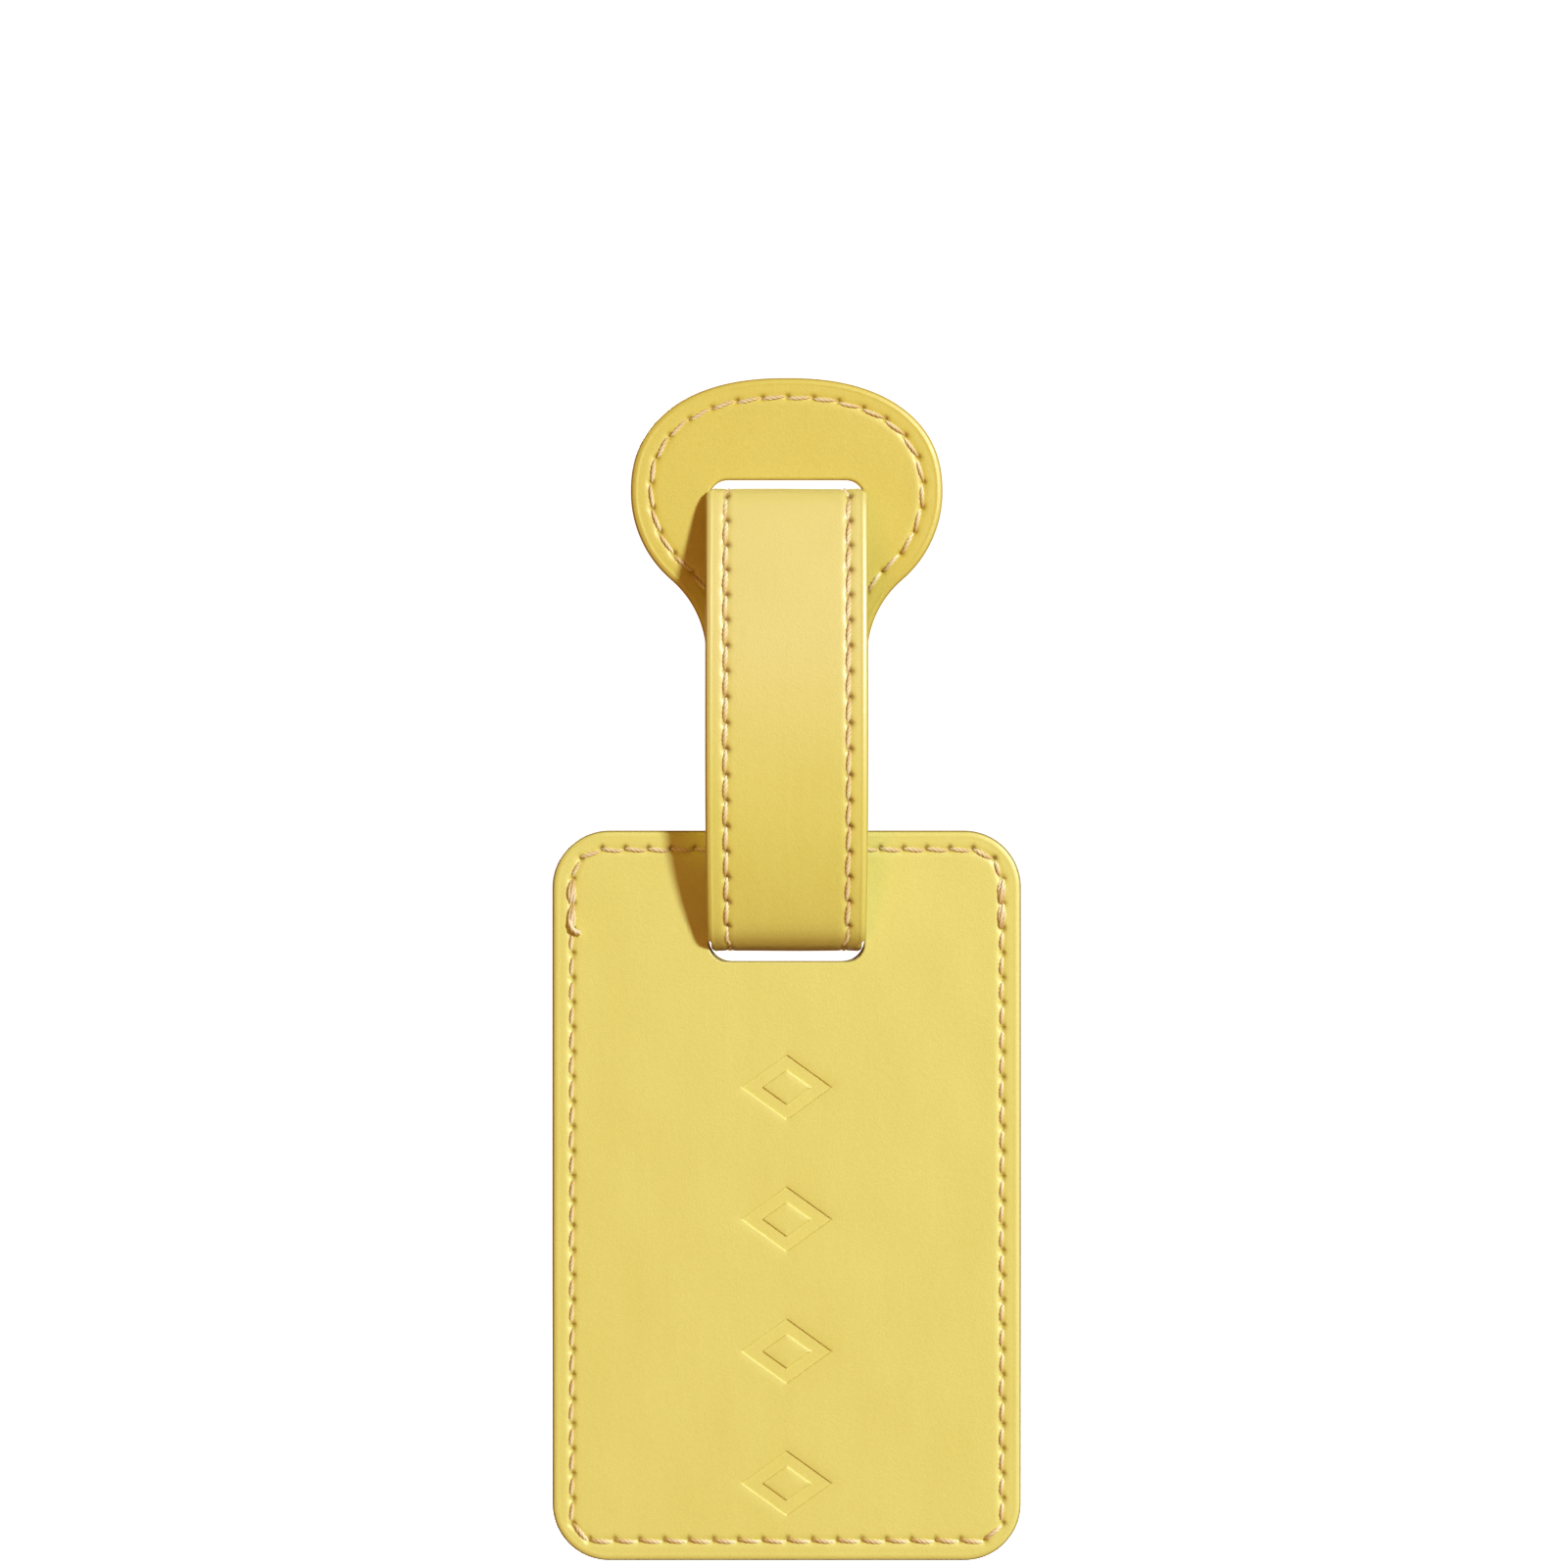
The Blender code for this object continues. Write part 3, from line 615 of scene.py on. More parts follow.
class Row:
    """A row of separate stitches, gathered into one mesh."""

    def __init__(self, seed):
        self.points, self.faces, self.along, self.ply = [], [], [], []
        self.count = 0
        self.draw = random.Random(seed)

    def add(self, points, faces, ply, along):
        self.points.append(points)
        self.faces += [tuple(i + self.count for i in face) for face in faces]
        self.along.append(along)
        self.ply.append(ply)
        self.count += len(points)

    def stitch(self, start, end, level, place, up_sign, slant=0.17, fat=1.0, proud=0.1, trim=0.03, bow=0.0):
        """One stitch between two needle holes. place(flat, level) puts pattern points in space."""
        start, end = np.asarray(start, float), np.asarray(end, float)
        t = np.linspace(0, 1, STITCH_RINGS)
        run = end - start
        run_length = np.linalg.norm(run)
        side = np.array([-run[1], run[0]]) / run_length
        jitter = self.draw.uniform(-STITCH_JITTER, STITCH_JITTER)
        swing = slant * (1 - 2 * t) + jitter + bow * np.sin(np.pi * t)
        flat = start + np.outer(trim + (1 - 2 * trim) * t, run) + np.outer(swing, side)
        body = np.sin(np.pi * np.clip(t, 0, 1)) ** 0.55
        radius = THREAD_RADIUS * fat * self.draw.uniform(*STITCH_FATNESS)
        radii = radius * (STITCH_END + (1 - STITCH_END) * body)
        lift = proud - STITCH_SINK * (1 - body) ** 1.4 - radius * 0.6
        ground = np.broadcast_to(level(flat) if callable(level) else level, t.shape).astype(float)
        if callable(level):
            reach = np.abs(t[:, None] - t[None, :]) * run_length
            fall = STEP_CLIMB * np.maximum(reach - STEP_REACH, 0)
            ground = (up_sign * ground[None, :] - fall).max(axis=1) * up_sign
        heights = ground + up_sign * lift
        centres = place(flat, heights)
        ups = place(flat, heights + up_sign * 0.05) - centres
        tube = twisted_tube(centres, ups, radii, run_length / TWIST_LENGTH, self.draw.uniform(0, math.pi))
        self.add(*tube, np.repeat(t, TUBE_SIDES))

    def strand(self, flat, heights, place, up_sign, radii):
        """A free length of thread through given pattern points."""
        centres = place(flat, heights)
        ups = place(flat, heights + up_sign * 0.05) - centres
        length = np.linalg.norm(np.diff(centres, axis=0), axis=1).sum()
        tube = twisted_tube(centres, ups, radii, length / TWIST_LENGTH, 0.0)
        self.add(*tube, np.full(len(tube[0]), 0.25))

    def finish(self, name, body, replaced, finish):
        points = np.vstack(self.points)
        made = new_object(name, points, self.faces, finish, body, replaced, smooth_angle=80)
        paint(made, along=np.concatenate(self.along), ply=np.concatenate(self.ply))
        return made


# ---------------- materials


def linear(red, green, blue):
    """An sRGB colour of 0 to 255 as linear values."""
    found = []
    for value in (red, green, blue):
        value /= 255
        found.append(value / 12.92 if value <= 0.04045 else ((value + 0.055) / 1.055) ** 2.4)
    return (*found, 1.0)


class Finish:
    """A node material under construction."""

    def __init__(self, name):
        self.material = bpy.data.materials.new(name)
        self.material.use_nodes = True
        self.nodes = self.material.node_tree.nodes
        self.links = self.material.node_tree.links
        self.shader = self.nodes["Principled BSDF"]
        self.coordinates = self.nodes.new("ShaderNodeTexCoord").outputs["Object"]

    def set(self, **values):
        for name, value in values.items():
            self.shader.inputs[name.replace("_", " ")].default_value = value

    def link(self, source, socket):
        self.links.new(source, self.shader.inputs[socket])

    def node(self, kind, **inputs):
        """A new node, with values set on its inputs."""
        made = self.nodes.new("ShaderNode" + kind)
        for name, value in inputs.items():
            made.inputs[name.replace("_", " ")].default_value = value
        return made

    def stretched(self, scale):
        node = self.node("Mapping", Scale=scale)
        self.links.new(self.coordinates, node.inputs["Vector"])
        return node.outputs["Vector"]

    def noise(self, scale, detail=3.0, roughness=0.55, vector=None, distortion=0.0):
        node = self.node(
            "TexNoise", Scale=scale, Detail=detail, Roughness=roughness, Distortion=distortion
        )
        self.links.new(vector or self.coordinates, node.inputs["Vector"])
        return node.outputs["Fac"]

    def cells(self, scale):
        node = self.node("TexVoronoi", Scale=scale)
        self.links.new(self.coordinates, node.inputs["Vector"])
        return node.outputs["Distance"]

    def attribute(self, name):
        node = self.nodes.new("ShaderNodeAttribute")
        node.attribute_name = name
        return node.outputs["Fac"]

    def span(self, value, low, high, to_low=0.0, to_high=1.0):
        node = self.node("MapRange", From_Min=low, From_Max=high, To_Min=to_low, To_Max=to_high)
        self.links.new(value, node.inputs["Value"])
        return node.outputs["Result"]

    def math(self, operation, first, second):
        node = self.nodes.new("ShaderNodeMath")
        node.operation = operation
        for socket, value in zip(node.inputs, (first, second)):
            if isinstance(value, (int, float)):
                socket.default_value = value
            else:
                self.links.new(value, socket)
        return node.outputs["Value"]

    def mix(self, factor, first, second):
        node = self.nodes.new("ShaderNodeMix")
        node.data_type = "RGBA"
        inputs = [node.inputs[0], node.inputs[6], node.inputs[7]]
        for socket, value in zip(inputs, (factor, first, second)):
            if isinstance(value, (int, float, tuple)):
                socket.default_value = value
            else:
                self.links.new(value, socket)
        return node.outputs[2]

    def bump(self, height, strength, distance, normal=None):
        node = self.node("Bump", Strength=strength, Distance=distance)
        self.links.new(height, node.inputs["Height"])
        if normal:
            self.links.new(normal, node.inputs["Normal"])
        return node.outputs["Normal"]


def leather(name, tone, deep, edge, edge_strength, streak_scale, polish=0.0):
    """Smooth satin leather: faint mottling and streaks, fine pores, painted edges, painted shade in needle
    holes, seams and the strap's turn, and a painted sheen.
    """
    made = Finish(name)
    broad = made.noise(55.0, 2.0, 0.5)
    cloud = made.noise(420.0, 4.0, 0.6, distortion=0.4)
    streak = made.noise(1.0, 3.0, 0.6, vector=made.stretched(streak_scale))
    fine = made.noise(2300.0, 3.0, 0.7)
    mottle = made.math("MULTIPLY", broad, 0.2)
    for layer, share in ((cloud, 0.2), (streak, 0.2), (fine, 0.4)):
        mottle = made.math("ADD", mottle, made.math("MULTIPLY", layer, share))
    colour = made.mix(made.span(mottle, 0.36, 0.66), tone, deep)
    pores = made.cells(2600.0)
    colour = made.mix(made.span(pores, 0.0, 0.16, 0.14, 0.0), colour, linear(165, 120, 50))
    # Painted sheen: a paler tone towards the top of the strap's front run
    colour = made.mix(made.attribute("fade"), colour, linear(234, 226, 150))
    # Painted shade: darker brown in needle holes, along the seams' channels and at the turn of the strap's
    # loop
    pressed = made.attribute("press")
    colour = made.mix(pressed, colour, linear(134, 86, 22))
    rim = made.math("MULTIPLY", made.attribute("edge"), edge_strength)
    colour = made.mix(rim, colour, edge)
    made.link(colour, "Base Color")
    made.link(made.span(cloud, 0.3, 0.7, 0.43, 0.53), "Roughness")
    made.set(Specular_IOR_Level=1.0, Coat_Weight=polish, Coat_Roughness=0.3)
    grain = made.math("ADD", made.math("MULTIPLY", pores, 0.7), made.noise(4200.0, 2.0, 0.6))
    normal = made.bump(grain, 0.22, 0.00008)
    normal = made.bump(made.noise(900.0, 3.0, 0.5), 0.08, 0.0002, normal)
    made.link(normal, "Normal")
    return made.material


def thread_finish():
    """Waxed linen thread, with painted light and shade: cream at the start of each stitch, as if lit, tan
    towards its end, as if shaded, and painted shade between the plies.
    """
    made = Finish("thread_waxed")
    fibre = made.noise(1.0, 3.0, 0.6, vector=made.stretched((5200.0, 5200.0, 5200.0)))
    # Painted light and shade along each stitch: cream at its start, tan towards its end
    along = made.attribute("along")
    shade = made.math("ADD", made.math("MULTIPLY", along, 0.75), made.math("MULTIPLY", fibre, 0.3))
    colour = made.mix(made.span(shade, 0.25, 1.0), linear(252, 247, 209), linear(211, 175, 91))
    # Painted shade in the grooves between the plies
    ply_groove_shade = made.span(made.attribute("ply"), 0.15, 0.6, 0.5, 0.0)
    colour = made.mix(ply_groove_shade, colour, linear(160, 122, 56))
    made.link(colour, "Base Color")
    made.link(made.span(fibre, 0.3, 0.7, 0.45, 0.62), "Roughness")
    made.set(Specular_IOR_Level=0.35)
    made.link(made.bump(fibre, 0.25, 0.00005), "Normal")
    return made.material


def film_finish():
    """Clear sheet, slightly uneven."""
    made = Finish("window_clear")
    haze = made.noise(160.0, 2.0, 0.5)
    tint = made.mix(made.span(haze, 0.3, 0.7), (0.86, 0.88, 0.88, 1.0), (0.78, 0.80, 0.80, 1.0))
    made.link(tint, "Base Color")
    made.set(Alpha=0.2, Specular_IOR_Level=1.0)
    made.link(made.span(haze, 0.3, 0.7, 0.08, 0.16), "Roughness")
    made.link(made.bump(haze, 0.15, 0.0004), "Normal")
    return made.material


# Ruled lines on the card, in metres: where they lie on X and Z, and how far apart and how long they are
RULE_SPACING = 0.0075
RULE_START = -0.2
RULE_HALF_WIDTH = 0.00012
RULES_MIDDLE = -0.1147
RULE_HALF_LENGTH = 0.0265


def card_finish():
    """Off-white card with ruled lines to write on."""
    made = Finish("card_paper")
    fibre = made.noise(2600.0, 4.0, 0.65)
    paper = made.mix(made.span(fibre, 0.3, 0.7), linear(242, 243, 234), linear(230, 230, 218))
    split = made.nodes.new("ShaderNodeSeparateXYZ")
    made.links.new(made.coordinates, split.inputs[0])
    # Ruled lines run up the card, because it is written on sideways
    shifted = made.math("ADD", split.outputs["X"], -RULE_START + RULE_SPACING / 2)
    line = made.math("PINGPONG", shifted, RULE_SPACING / 2)
    drawn = made.math("LESS_THAN", line, RULE_HALF_WIDTH)
    off_middle = made.math("ABSOLUTE", made.math("ADD", split.outputs["Z"], -RULES_MIDDLE), 0.0)
    within = made.math("LESS_THAN", off_middle, RULE_HALF_LENGTH)
    ink = made.math("MULTIPLY", drawn, within)
    colour = made.mix(made.math("MULTIPLY", ink, 0.75), paper, linear(96, 104, 112))
    made.link(colour, "Base Color")
    made.link(made.span(fibre, 0.3, 0.7, 0.7, 0.85), "Roughness")
    made.link(made.bump(fibre, 0.12, 0.00006), "Normal")
    return made.material


def hidden_finish(name, light, dark, scale):
    """Plain fibrous material of a layer that lies between the leathers."""
    made = Finish(name)
    fibre = made.noise(scale, 4.0, 0.6)
    made.link(made.mix(made.span(fibre, 0.3, 0.7), light, dark), "Base Color")
    made.link(made.span(fibre, 0.3, 0.7, 0.7, 0.9), "Roughness")
    made.link(made.bump(fibre, 0.3, 0.0001), "Normal")
    return made.material


# ---------------- the tag body

EDGE_RINGS = (0.04, 0.11, 0.21, 0.33, 0.46, 0.57, 0.67, 0.77, 0.87, 0.99, 1.15, 1.32, 1.5)
SEAM_RINGS = (-1.25, -0.9, -0.62, -0.42, -0.26, -0.12, 0.0, 0.12, 0.26, 0.42, 0.62, 0.9, 1.25)
SLOT_RINGS = tuple(-offset for offset in EDGE_RINGS[:6])
SLOT_STEP = 0.3
ALONG_STEP = 0.36
HOLE_ROSETTE = ((0.14, 6), (0.28, 8), (0.45, 10), (0.68, 10))
MARK_RINGS = (-0.3, -0.18, -0.09, 0.0, 0.09, 0.18, 0.3)
MARK_STEP = 0.22


def grid(left, bottom, right, top, step):
    """Coarse points with alternate rows shifted."""
    rows = []
    for i, z in enumerate(np.arange(bottom, top, step * 0.87)):
        x = np.arange(left + (i % 2) * step / 2, right, step)
        rows.append(np.column_stack([x, np.full(len(x), z)]))
    return np.vstack(rows)


def away_from(cloud, loops, distance):
    """The points that are further than a distance from every (loop, closed)."""
    keep = np.ones(len(cloud), bool)
    for loop, closed in loops:
        keep &= distance_to(cloud, loop, closed) > distance
    return cloud[keep]


def hole_points(holes):
    """Small rosettes of points, so that a needle hole has a shape."""
    found = [holes]
    for radius, count in HOLE_ROSETTE:
        angles = np.linspace(0, 2 * np.pi, count, endpoint=False) + radius
        for angle in angles:
            found.append(holes + radius * np.array([math.cos(angle), math.sin(angle)]))
    return np.vstack(found)


def tag_outline():
    return rounded_rectangle(TAG_LEFT, TAG_BOTTOM, TAG_RIGHT, TAG_TOP, TAG_CORNER, steps=20)


def mark_points():
    """Points on both sides of every mark's lines."""
    found = []
    for centre in MARK_CENTRES:
        for size in (1.0, MARK_ISLAND):
            a, b = MARK_HALF[0] * size, MARK_HALF[1] * size
            corners = np.array([(a, 0), (0, b), (-a, 0), (0, -b)]) + centre
            found.append(rings(corners, MARK_RINGS, MARK_STEP))
    return np.vstack(found)


def mark_relief(points):
    """How deep the pressed marks go at each point."""
    depth = np.zeros(len(points))
    for centre in MARK_CENTRES:
        outer = lozenge_distance(points, centre, MARK_HALF)
        inner = lozenge_distance(points, centre, np.array(MARK_HALF) * MARK_ISLAND)
        pressed = (1 - ramp(outer, -0.11, 0.03)) * ramp(inner, -0.03, 0.11)
        shoulder = bell(np.maximum(outer, 0), 0.4) * ramp(inner, -0.5, 0.0)
        depth = np.maximum(depth, (MARK_DEPTH - MARK_SHOULDER) * pressed + MARK_SHOULDER * shoulder)
    return depth


def slotted_pattern(outline, slot, holes, coarse, clear, edges, edge_step, seams, *extra):
    """(points, triangles, distance from the outline, distance from the slot) of a sewn pattern."""
    cloud = np.vstack(
        [
            away_from(coarse, [(outline, True), (holes, True)], clear),
            rings(outline, edges, edge_step),
            rings(resample(holes, ALONG_STEP), seams, ALONG_STEP),
            rings(slot, SLOT_RINGS, SLOT_STEP),
            hole_points(holes),
            *extra,
        ]
    )
    flat, triangles = triangulate(outline, [slot], cloud, ALONG_STEP)
    return flat, triangles, distance_to(flat, outline), distance_to(flat, slot)


def tag_rim(edge, slot_edge):
    """How much of a cut edge's tone each point has, by its distance from the outline and the slot."""
    return np.maximum(1 - ramp(edge, 0.03, 0.34), 0.8 * (1 - ramp(slot_edge, 0.02, 0.25)))


def make_cover(finish, holes):
    slot = slot_loop(SLOT_TOP, SLOT_BOTTOM, *COVER_SLOT)
    coarse = grid(TAG_LEFT, TAG_BOTTOM, TAG_RIGHT, TAG_TOP, 1.3)
    flat, triangles, edge, slot_edge = slotted_pattern(
        tag_outline(), slot, holes, coarse, 1.4, EDGE_RINGS, ALONG_STEP, SEAM_RINGS, mark_points()
    )
    sunk, dark = seam_relief(flat, holes, shift=row_shifts(holes))
    # Painted shade in the holes is fuller along the top row than down the sides and along the bottom
    dark *= 0.55 + 0.45 * ramp(flat[:, 1], TAG_TOP - 6, TAG_TOP - 4)
    depth = rounding(edge, 0.8, 0.5) + rounding(slot_edge, 0.35, 0.2) - 0.02 * bell(edge - 0.85, 0.2)
    depth += sunk + mark_relief(flat) + ripple(flat, 3, 0.02, 14.0) * ramp(edge, 0.5, 4.0)
    front = TAG_FRONT + depth
    recess = (edge > BOARD_ROOM) & (slot_edge > BOARD_ROOM)
    back = np.where(recess, BOARD_FACES[0], TAG_MIDDLE - 0.025)
    layers = upright(flat, front), upright(flat, back)
    made = sheet("front_leather", layers, triangles, finish, "tag", "front_cover")
    paint_leather(made, tag_rim(edge, slot_edge), dark)


def make_backing(finish, holes):
    slot = slot_loop(SLOT_TOP, SLOT_BOTTOM, *BACK_SLOT)
    coarse = grid(TAG_LEFT, TAG_BOTTOM, TAG_RIGHT, TAG_TOP, 1.5)
    edges, seams = EDGE_RINGS[:9:2], SEAM_RINGS[::2]
    flat, triangles, edge, slot_edge = slotted_pattern(
        tag_outline(), slot, holes, coarse, 1.5, edges, ALONG_STEP * 1.3, seams
    )
    sunk, dark = seam_relief(flat, holes)
    under_frame = (flat[:, 1] < FRAME_TOP + 0.4) & (flat[:, 0] < MOUTH_X + 0.4)
    free_edge = ~(under_frame & (edge < 0.9))
    depth = rounding(edge, 0.8, 0.45) * free_edge + rounding(slot_edge, 0.6, 0.4)
    depth += np.where(under_frame, 0.0, sunk + ripple(flat, 5, 0.02, 14.0))
    back = TAG_BACK - depth
    recess = (edge > BOARD_ROOM) & (slot_edge > BOARD_ROOM)
    front = np.where(recess, BOARD_FACES[1], TAG_MIDDLE + 0.025)
    layers = upright(flat, back), upright(flat, front)
    made = sheet("back_leather", layers, triangles, finish, "tag", "backing_panel")
    # The back's painted shade in its needle holes is a little weaker
    paint_leather(made, tag_rim(edge, slot_edge), dark * 0.85)


def window_loop(outset=0.0):
    x, z = WINDOW_CENTRE
    across, up = WINDOW_HALF[0] + outset, WINDOW_HALF[1] + outset
    return rounded_rectangle(x - across, z - up, x + across, z + up, WINDOW_CORNER + outset)


def frame_loop():
    """Outline of the window frame, with the thumb notch in its open side."""
    corner = arc((TAG_LEFT + TAG_CORNER, TAG_BOTTOM + TAG_CORNER), TAG_CORNER, 180, 270, 20)
    x, z = MOUTH_X, WINDOW_CENTRE[1]
    notch = arc((x, z), THUMB_NOTCH_RADIUS, 270, 90, 30)
    mouth_low = arc((x - 0.6, TAG_BOTTOM + 0.6), 0.6, 270, 360, 4)
    mouth_high = arc((x - 1.5, FRAME_TOP - 1.5), 1.5, 0, 90, 6)
    top_left = arc((TAG_LEFT + 0.5, FRAME_TOP - 0.5), 0.5, 90, 180, 4)
    return np.vstack([mouth_high, top_left, corner, mouth_low, notch])


def make_frame(finish, holes, window_holes, top_holes):
    outline = frame_loop()
    window = window_loop()
    seam = resample(holes, ALONG_STEP)
    loops = [(outline, True), (holes, True), (window, True), (window_holes, True), (top_holes, False)]
    cloud = away_from(grid(TAG_LEFT, TAG_BOTTOM, MOUTH_X, FRAME_TOP, 1.2), loops, 1.2)
    pocket = rounded_rectangle(
        TAG_LEFT + RIM_WIDTH, TAG_BOTTOM + RIM_WIDTH, MOUTH_X + 9, FRAME_TOP - RIM_WIDTH, 2.5
    )
    cloud = np.vstack(
        [
            cloud,
            rings(outline, EDGE_RINGS, ALONG_STEP),
            rings(window, [-offset for offset in EDGE_RINGS], ALONG_STEP),
            rings(seam, SEAM_RINGS, ALONG_STEP),
            rings(resample(window_holes, ALONG_STEP), SEAM_RINGS, ALONG_STEP),
            rings(top_holes, SEAM_RINGS, ALONG_STEP, closed=False),
            rings(pocket, (-0.06, 0.06), 0.6),
            hole_points(holes),
            hole_points(window_holes),
            hole_points(top_holes),
        ]
    )
    flat, triangles = triangulate(outline, [window], cloud, ALONG_STEP)
    edge = distance_to(flat, outline)
    window_edge = distance_to(flat, window)
    depth = rounding(edge, 0.7, 0.42) + rounding(window_edge, 0.55, 0.36)
    depth += 0.02 * (bell(edge - 1.2, 0.16) + bell(window_edge - 0.95, 0.14))
    # Painted shade in the holes and channels of the frame's three rows
    dark = np.zeros(len(flat))
    for row, closed in ((holes, True), (window_holes, True), (top_holes, False)):
        row_sunk, row_dark = seam_relief(flat, row, closed)
        depth += row_sunk
        dark = np.maximum(dark, row_dark)
    depth += ripple(flat, 8, 0.02, 12.0) * ramp(np.minimum(edge, window_edge), 0.5, 3.0)
    outside = FRAME_BACK - depth
    in_pocket = inside(flat, pocket)
    inner = np.where(in_pocket, FRAME_INSIDE, TAG_BACK + 0.03)
    layers = upright(flat, outside), upright(flat, inner)
    made = sheet("frame_leather", layers, triangles, finish, "tag", "window_frame")
    rim = 1 - ramp(np.minimum(edge, window_edge), 0.03, 0.32)
    paint_leather(made, rim, dark)


def make_film(finish):
    low, high = FILM_BOX
    outline = rounded_rectangle(low[0], low[2], high[0], high[2], 4.0)
    flat, triangles = triangulate(outline, [], grid(low[0], low[2], high[0], high[2], 1.6), 1.0)
    wave = ripple(flat, 11, 0.03, 26.0)
    layers = upright(flat, high[1] - 0.03 + wave * 0.5), upright(flat, low[1] + 0.03 + wave * 0.5)
    sheet("film_clear", layers, triangles, finish, "tag", "window_film")


def make_card(finish):
    low, high = CARD_BOX
    outline = rounded_rectangle(low[0], low[2], high[0], high[2], 2.5)
    cloud = np.vstack([grid(low[0], low[2], high[0], high[2], 2.0), rings(outline, (0.06, 0.14), 0.8)])
    flat, triangles = triangulate(outline, [], cloud, 0.8)
    fall = rounding(distance_to(flat, outline), 0.08, 0.08)
    layers = upright(flat, high[1] - fall), upright(flat, low[1] + fall)
    sheet("card_paper", layers, triangles, finish, "card", "address_card")


# ---------------- the strap


def make_strap_skin(name, node, side, finish, holes):
    """One skin of the strap: side is 1 for the outer one and -1 for the inner one."""
    slot = slot_loop(HEAD_TOP, HEAD_TOP - HEAD_SLOT_TOP, *HEAD_SLOT)
    coarse = grid(-HEAD_HALF_WIDTH, 0.0, HEAD_HALF_WIDTH, STRAP_LENGTH, 1.25)
    flat, triangles, edge, slot_edge = slotted_pattern(
        strap_outline(), slot, holes, coarse, 1.3, EDGE_RINGS, ALONG_STEP, SEAM_RINGS
    )
    if side > 0:
        sunk, dark = seam_relief(flat, holes, depth=0.14, shift=(0.2, 0.0), spread=1.25)
    else:
        sunk, dark = seam_relief(flat, holes, depth=0.14, shift=(0.1, -0.1))
        # The inner skin's painted shade in its needle holes is weaker
        dark *= 0.55
    # Painted shade at the turn of the loop, on both skins
    dark = np.maximum(dark, TURN_PAINTED_SHADE * bell(flat[:, 1] - TURN_AT, 3.4))
    depth = rounding(edge, 0.8, 0.55) + rounding(slot_edge, 0.5, 0.35) - 0.045 * bell(edge - 0.8, 0.17)
    depth += sunk + ripple(flat, 21 + side, 0.03, 16.0) * ramp(np.minimum(edge, slot_edge), 0.5, 4.0)
    face = side * (STRAP_HALF_THICKNESS - depth)
    room = (edge > TAPE_ROOM) & (slot_edge > TAPE_ROOM)
    inner = side * np.where(room, TAPE_FACE, 0.03)
    layers = bend(flat, face), bend(flat, inner)
    made = sheet(name, layers, triangles, finish, "strap", node)
    rim = np.maximum(1 - ramp(edge, 0.05, 0.4), 1 - ramp(slot_edge, 0.03, 0.3))
    paint_leather(made, rim, dark)
    if side > 0:
        # Painted sheen on the front run, paler towards its top
        s = np.concatenate([flat[:, 1], flat[:, 1]])
        on_front_run = ramp(s, TURN_AT, TURN_AT + 6) * (1 - ramp(s, FOLD_AT, FOLD_AT + 5))
        heights = np.vstack(layers)[:, 2]
        paint(made, fade=SHEEN_PAINT * on_front_run * ramp(heights, *SHEEN_PAINT_HEIGHTS))


def strap_row(name, node, side, holes, finish, seed):
    row = Row(seed)
    fat = 1.2 if side > 0 else 1.08
    for start, end in pairs(holes):
        middle = (start[1] + end[1]) / 2
        turning = min(abs(middle - TURN_AT), abs(middle - FOLD_AT)) < TURN_SPAN
        proud = -0.08 if turning else 0.1
        row.stitch(start, end, side * STRAP_HALF_THICKNESS, bend, side, fat=fat, proud=proud)
    return row.finish(name, "strap", [node], finish)


def tag_rows(holes, window_holes, top_holes, finish):
    front = Row(31)
    for start, end in pairs(holes):
        x, z = (start + end) / 2
        on_side = abs(x) > TACK_BEYOND
        if on_side and TACK_HEIGHTS[0] < z < TACK_HEIGHTS[1]:
            for slant, bow in TACK_STITCHES:
                proud = 0.2 + 0.5 * slant
                front.stitch(start, end, TAG_FRONT, upright, -1, slant, 0.95, proud, 0.0, bow)
        else:
            fat, trim = (1.0, 0.11) if on_side else (1.15, 0.03)
            front.stitch(start, end, TAG_FRONT, upright, -1, fat=fat, trim=trim)
    known = range(len(LOOSE_END))
    at = np.linspace(0, len(LOOSE_END) - 1, LOOSE_END_RINGS)
    flat = interpolate(at, known, np.array(LOOSE_END))
    lift = np.interp(at, known, LOOSE_END_LIFT)
    radii = np.linspace(*LOOSE_END_RADII, LOOSE_END_RINGS)
    front.strand(flat, TAG_FRONT - lift, upright, -1, radii)
    front.finish("front_stitches", "tag", ["seam_thread_front"], finish)

    def level(flat):
        """The back row lies on the frame where there is one, and on the backing elsewhere."""
        on_frame = (flat[:, 1] < FRAME_TOP + 0.15) & (flat[:, 0] < MOUTH_X + 0.15)
        return np.where(on_frame, FRAME_BACK, TAG_BACK)

    back = Row(32)
    for start, end in pairs(holes):
        beside_card = CARD_BOX[0][2] - 4 < start[1] < CARD_BOX[1][2] + 4
        under_card = beside_card and min(start[0], end[0]) > MOUTH_X
        back.stitch(start, end, level, upright, 1, proud=-0.12 if under_card else 0.1)
    back.finish("back_stitches", "tag", ["seam_thread_back"], finish)

    window = Row(33)
    for start, end in pairs(window_holes):
        window.stitch(start, end, FRAME_BACK, upright, 1)
    window.finish("window_stitches", "tag", ["window_thread"], finish)

    top = Row(34)
    for start, end in zip(top_holes[:-1], top_holes[1:]):
        top.stitch(start, end, FRAME_BACK, upright, 1)
    top.finish("frame_top_stitches", "tag", ["frame_top_thread"], finish)


# ---------------- stage

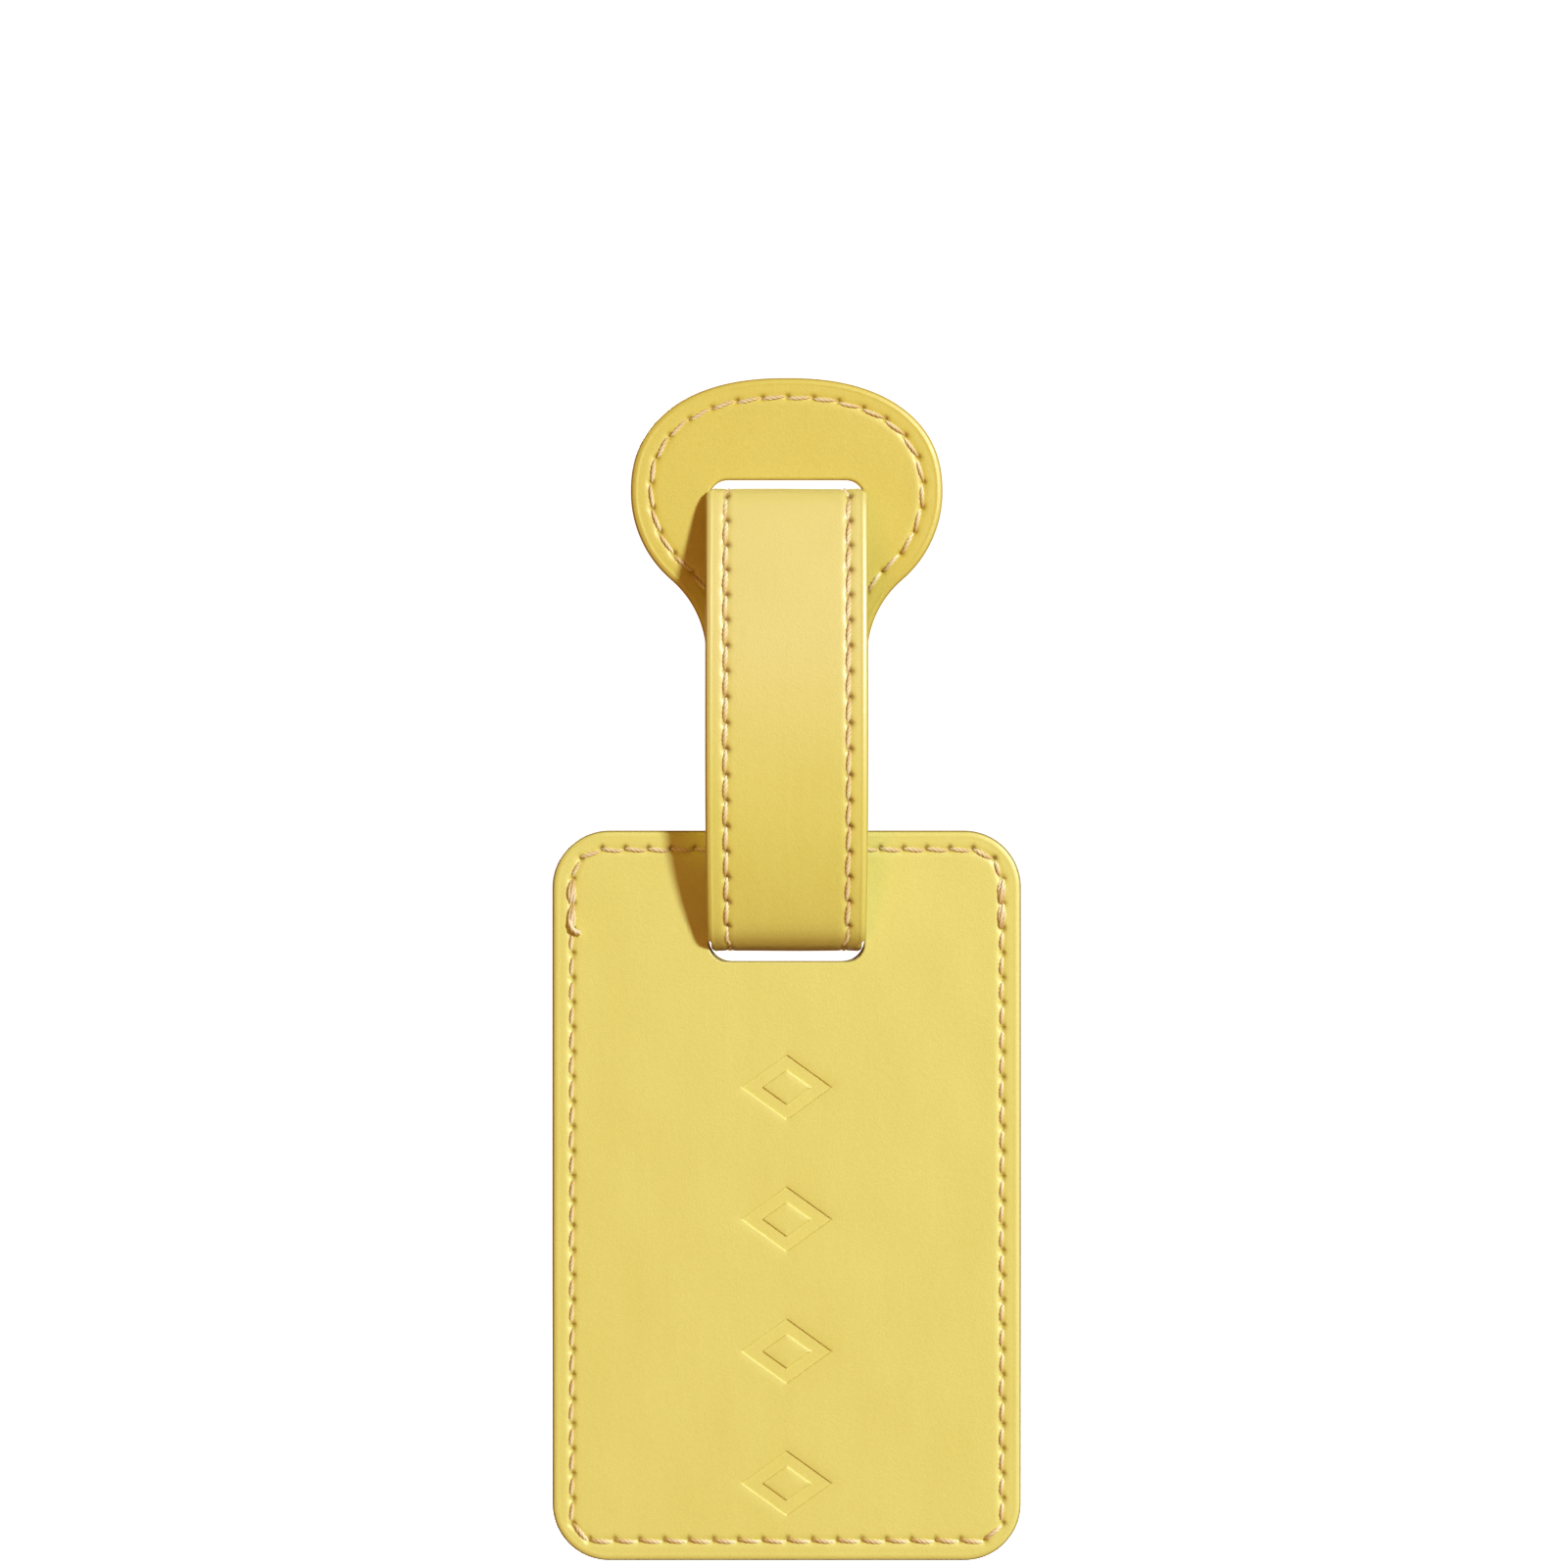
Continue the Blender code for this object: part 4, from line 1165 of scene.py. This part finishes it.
FRAME_WIDTH = 0.2352
AIM_HEIGHT = -0.0413
AIM_SIDE = -0.0004
LENS = 150.0
SENSOR = 36.0
FLOOR_HALF = 6.0
FLOOR_LEVEL = -0.30
BACKDROP_RADIUS = 7.0
STAGE_LIGHT = (0.80, 0.80, 0.80, 1.0)
STAGE_DARK = (0.80 * 0.99, 0.80 * 0.99, 0.80 * 0.99, 1.0)
LIGHTS_AIM = (0.0, 0.0, -0.07)
# Name, place, size, power and colour
LIGHTS = (
    ("key", (1.33, -1.58, 0.70), 0.32, 47.0, (0.97, 1.0, 1.0)),
    ("fill", (-0.6, -1.1, -0.4), 0.7, 2.4, (1.0, 0.46, 0.18)),
    ("back", (-0.85, 1.50, 0.75), 0.5, 36.0, (1.0, 1.0, 1.0)),
)
WORLD_COLOUR = (1.0, 0.43, 0.13, 1.0)
WORLD_STRENGTH = 0.24


def stage_finish(name):
    """Pale material that glows evenly, so that the camera sees it white."""
    made = Finish(name)
    tone = made.noise(2.0, 2.0, 0.5)
    made.link(made.mix(made.span(tone, 0.3, 0.7), STAGE_LIGHT, STAGE_DARK), "Base Color")
    made.set(Roughness=0.9, Emission_Color=(1.0, 1.0, 1.0, 1.0), Emission_Strength=1.0)
    return made.material


def area_light(name, location, size, power, colour):
    lamp = bpy.data.lights.new(name, "AREA")
    lamp.shape = "DISK"
    lamp.size = size
    lamp.energy = power
    lamp.color = colour
    made = bpy.data.objects.new(name, lamp)
    made.location = location
    made.rotation_euler = (Vector(LIGHTS_AIM) - Vector(location)).to_track_quat("-Z", "Y").to_euler()
    bpy.context.scene.collection.objects.link(made)


def seen_only(made):
    """The camera sees it, and it lights nothing."""
    made.visible_diffuse = False
    made.visible_glossy = False
    made.visible_shadow = False
    bpy.context.scene.collection.objects.link(made)


def set_stage():
    scene = bpy.context.scene
    mesh = bpy.data.meshes.new("floor")
    signs = ((-1, -1), (1, -1), (1, 1), (-1, 1))
    corners = [(x * FLOOR_HALF, y * FLOOR_HALF, FLOOR_LEVEL) for x, y in signs]
    mesh.from_pydata(corners, [], [(0, 1, 2, 3)])
    mesh.materials.append(stage_finish("floor_white"))
    seen_only(bpy.data.objects.new("floor", mesh))

    dome = bmesh.new()
    bmesh.ops.create_icosphere(dome, subdivisions=4, radius=BACKDROP_RADIUS)
    mesh = bpy.data.meshes.new("backdrop")
    dome.to_mesh(mesh)
    dome.free()
    mesh.materials.append(stage_finish("backdrop_white"))
    seen_only(bpy.data.objects.new("backdrop", mesh))

    world = bpy.data.worlds.new("studio")
    world.use_nodes = True
    background = world.node_tree.nodes["Background"]
    background.inputs["Color"].default_value = WORLD_COLOUR
    background.inputs["Strength"].default_value = WORLD_STRENGTH
    scene.world = world

    for light in LIGHTS:
        area_light(*light)

    camera = bpy.data.cameras.new("camera")
    camera.lens = LENS
    camera.sensor_width = SENSOR
    camera.clip_start, camera.clip_end = 0.05, 50.0
    made = bpy.data.objects.new("camera", camera)
    made.location = (AIM_SIDE, -LENS / SENSOR * FRAME_WIDTH + TAG_FRONT * MM, AIM_HEIGHT)
    made.rotation_euler = (math.pi / 2, 0.0, 0.0)
    scene.collection.objects.link(made)
    scene.camera = made
    scene.view_settings.view_transform = "Standard"


# ---------------- everything


# Scales of the faint streaks along the leather, finer across the strap's front
STREAKS = (300.0, 300.0, 60.0)
FINE_STREAKS = (700.0, 300.0, 60.0)


def main():
    tones = linear(234, 234, 131), linear(227, 224, 115), linear(112, 92, 36)
    tag_leather = leather("leather_tag", *tones, 0.85, STREAKS)
    # The inner skin is the same leather in deeper tones: painted shade, so the strap's head is darker than
    # its front run
    tones = linear(228, 220, 104), linear(219, 208, 90), linear(168, 134, 52)
    inner_leather = leather("leather_strap_inner", *tones, 0.6, STREAKS)
    tones = linear(233, 232, 121), linear(226, 221, 103), linear(176, 142, 58)
    strap_leather = leather("leather_strap", *tones, 0.6, FINE_STREAKS, polish=0.3)
    thread = thread_finish()

    holes = tag_holes()
    window_holes = resample(window_loop(WINDOW_SEAM_OUTSET), WINDOW_PITCH)
    row_z = FRAME_TOP - SEAM_INSET
    row_start, row_end = ((x, row_z) for x in FRAME_ROW_ENDS)
    top_holes = np.array(evenly(row_start, row_end, WINDOW_PITCH) + [row_end])
    make_cover(tag_leather, holes)
    make_backing(tag_leather, holes)
    make_frame(tag_leather, holes, window_holes, top_holes)
    make_film(film_finish())
    make_card(card_finish())
    tag_rows(holes, window_holes, top_holes, thread)

    strap_holes = resample(strap_outline(STRAP_SEAM_INSET), STRAP_PITCH)
    make_strap_skin("strap_outer_skin", "strap_outer_leather", 1, strap_leather, strap_holes)
    make_strap_skin("strap_inner_skin", "strap_inner_leather", -1, inner_leather, strap_holes)
    strap_row("strap_outer_stitches", "strap_outer_thread", 1, strap_holes, thread, 41)
    strap_row("strap_inner_stitches", "strap_inner_thread", -1, strap_holes, thread, 42)

    tape = hidden_finish("tape_woven", linear(225, 218, 196), linear(196, 186, 160), 3000.0)
    board = hidden_finish("board_fibre", linear(150, 118, 82), linear(118, 90, 60), 2200.0)
    for node, finish in (("strap_reinforcement_tape", tape), ("stiffener_board", board)):
        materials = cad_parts[node].data.materials
        materials.clear()
        materials.append(finish)

    set_stage()


main()
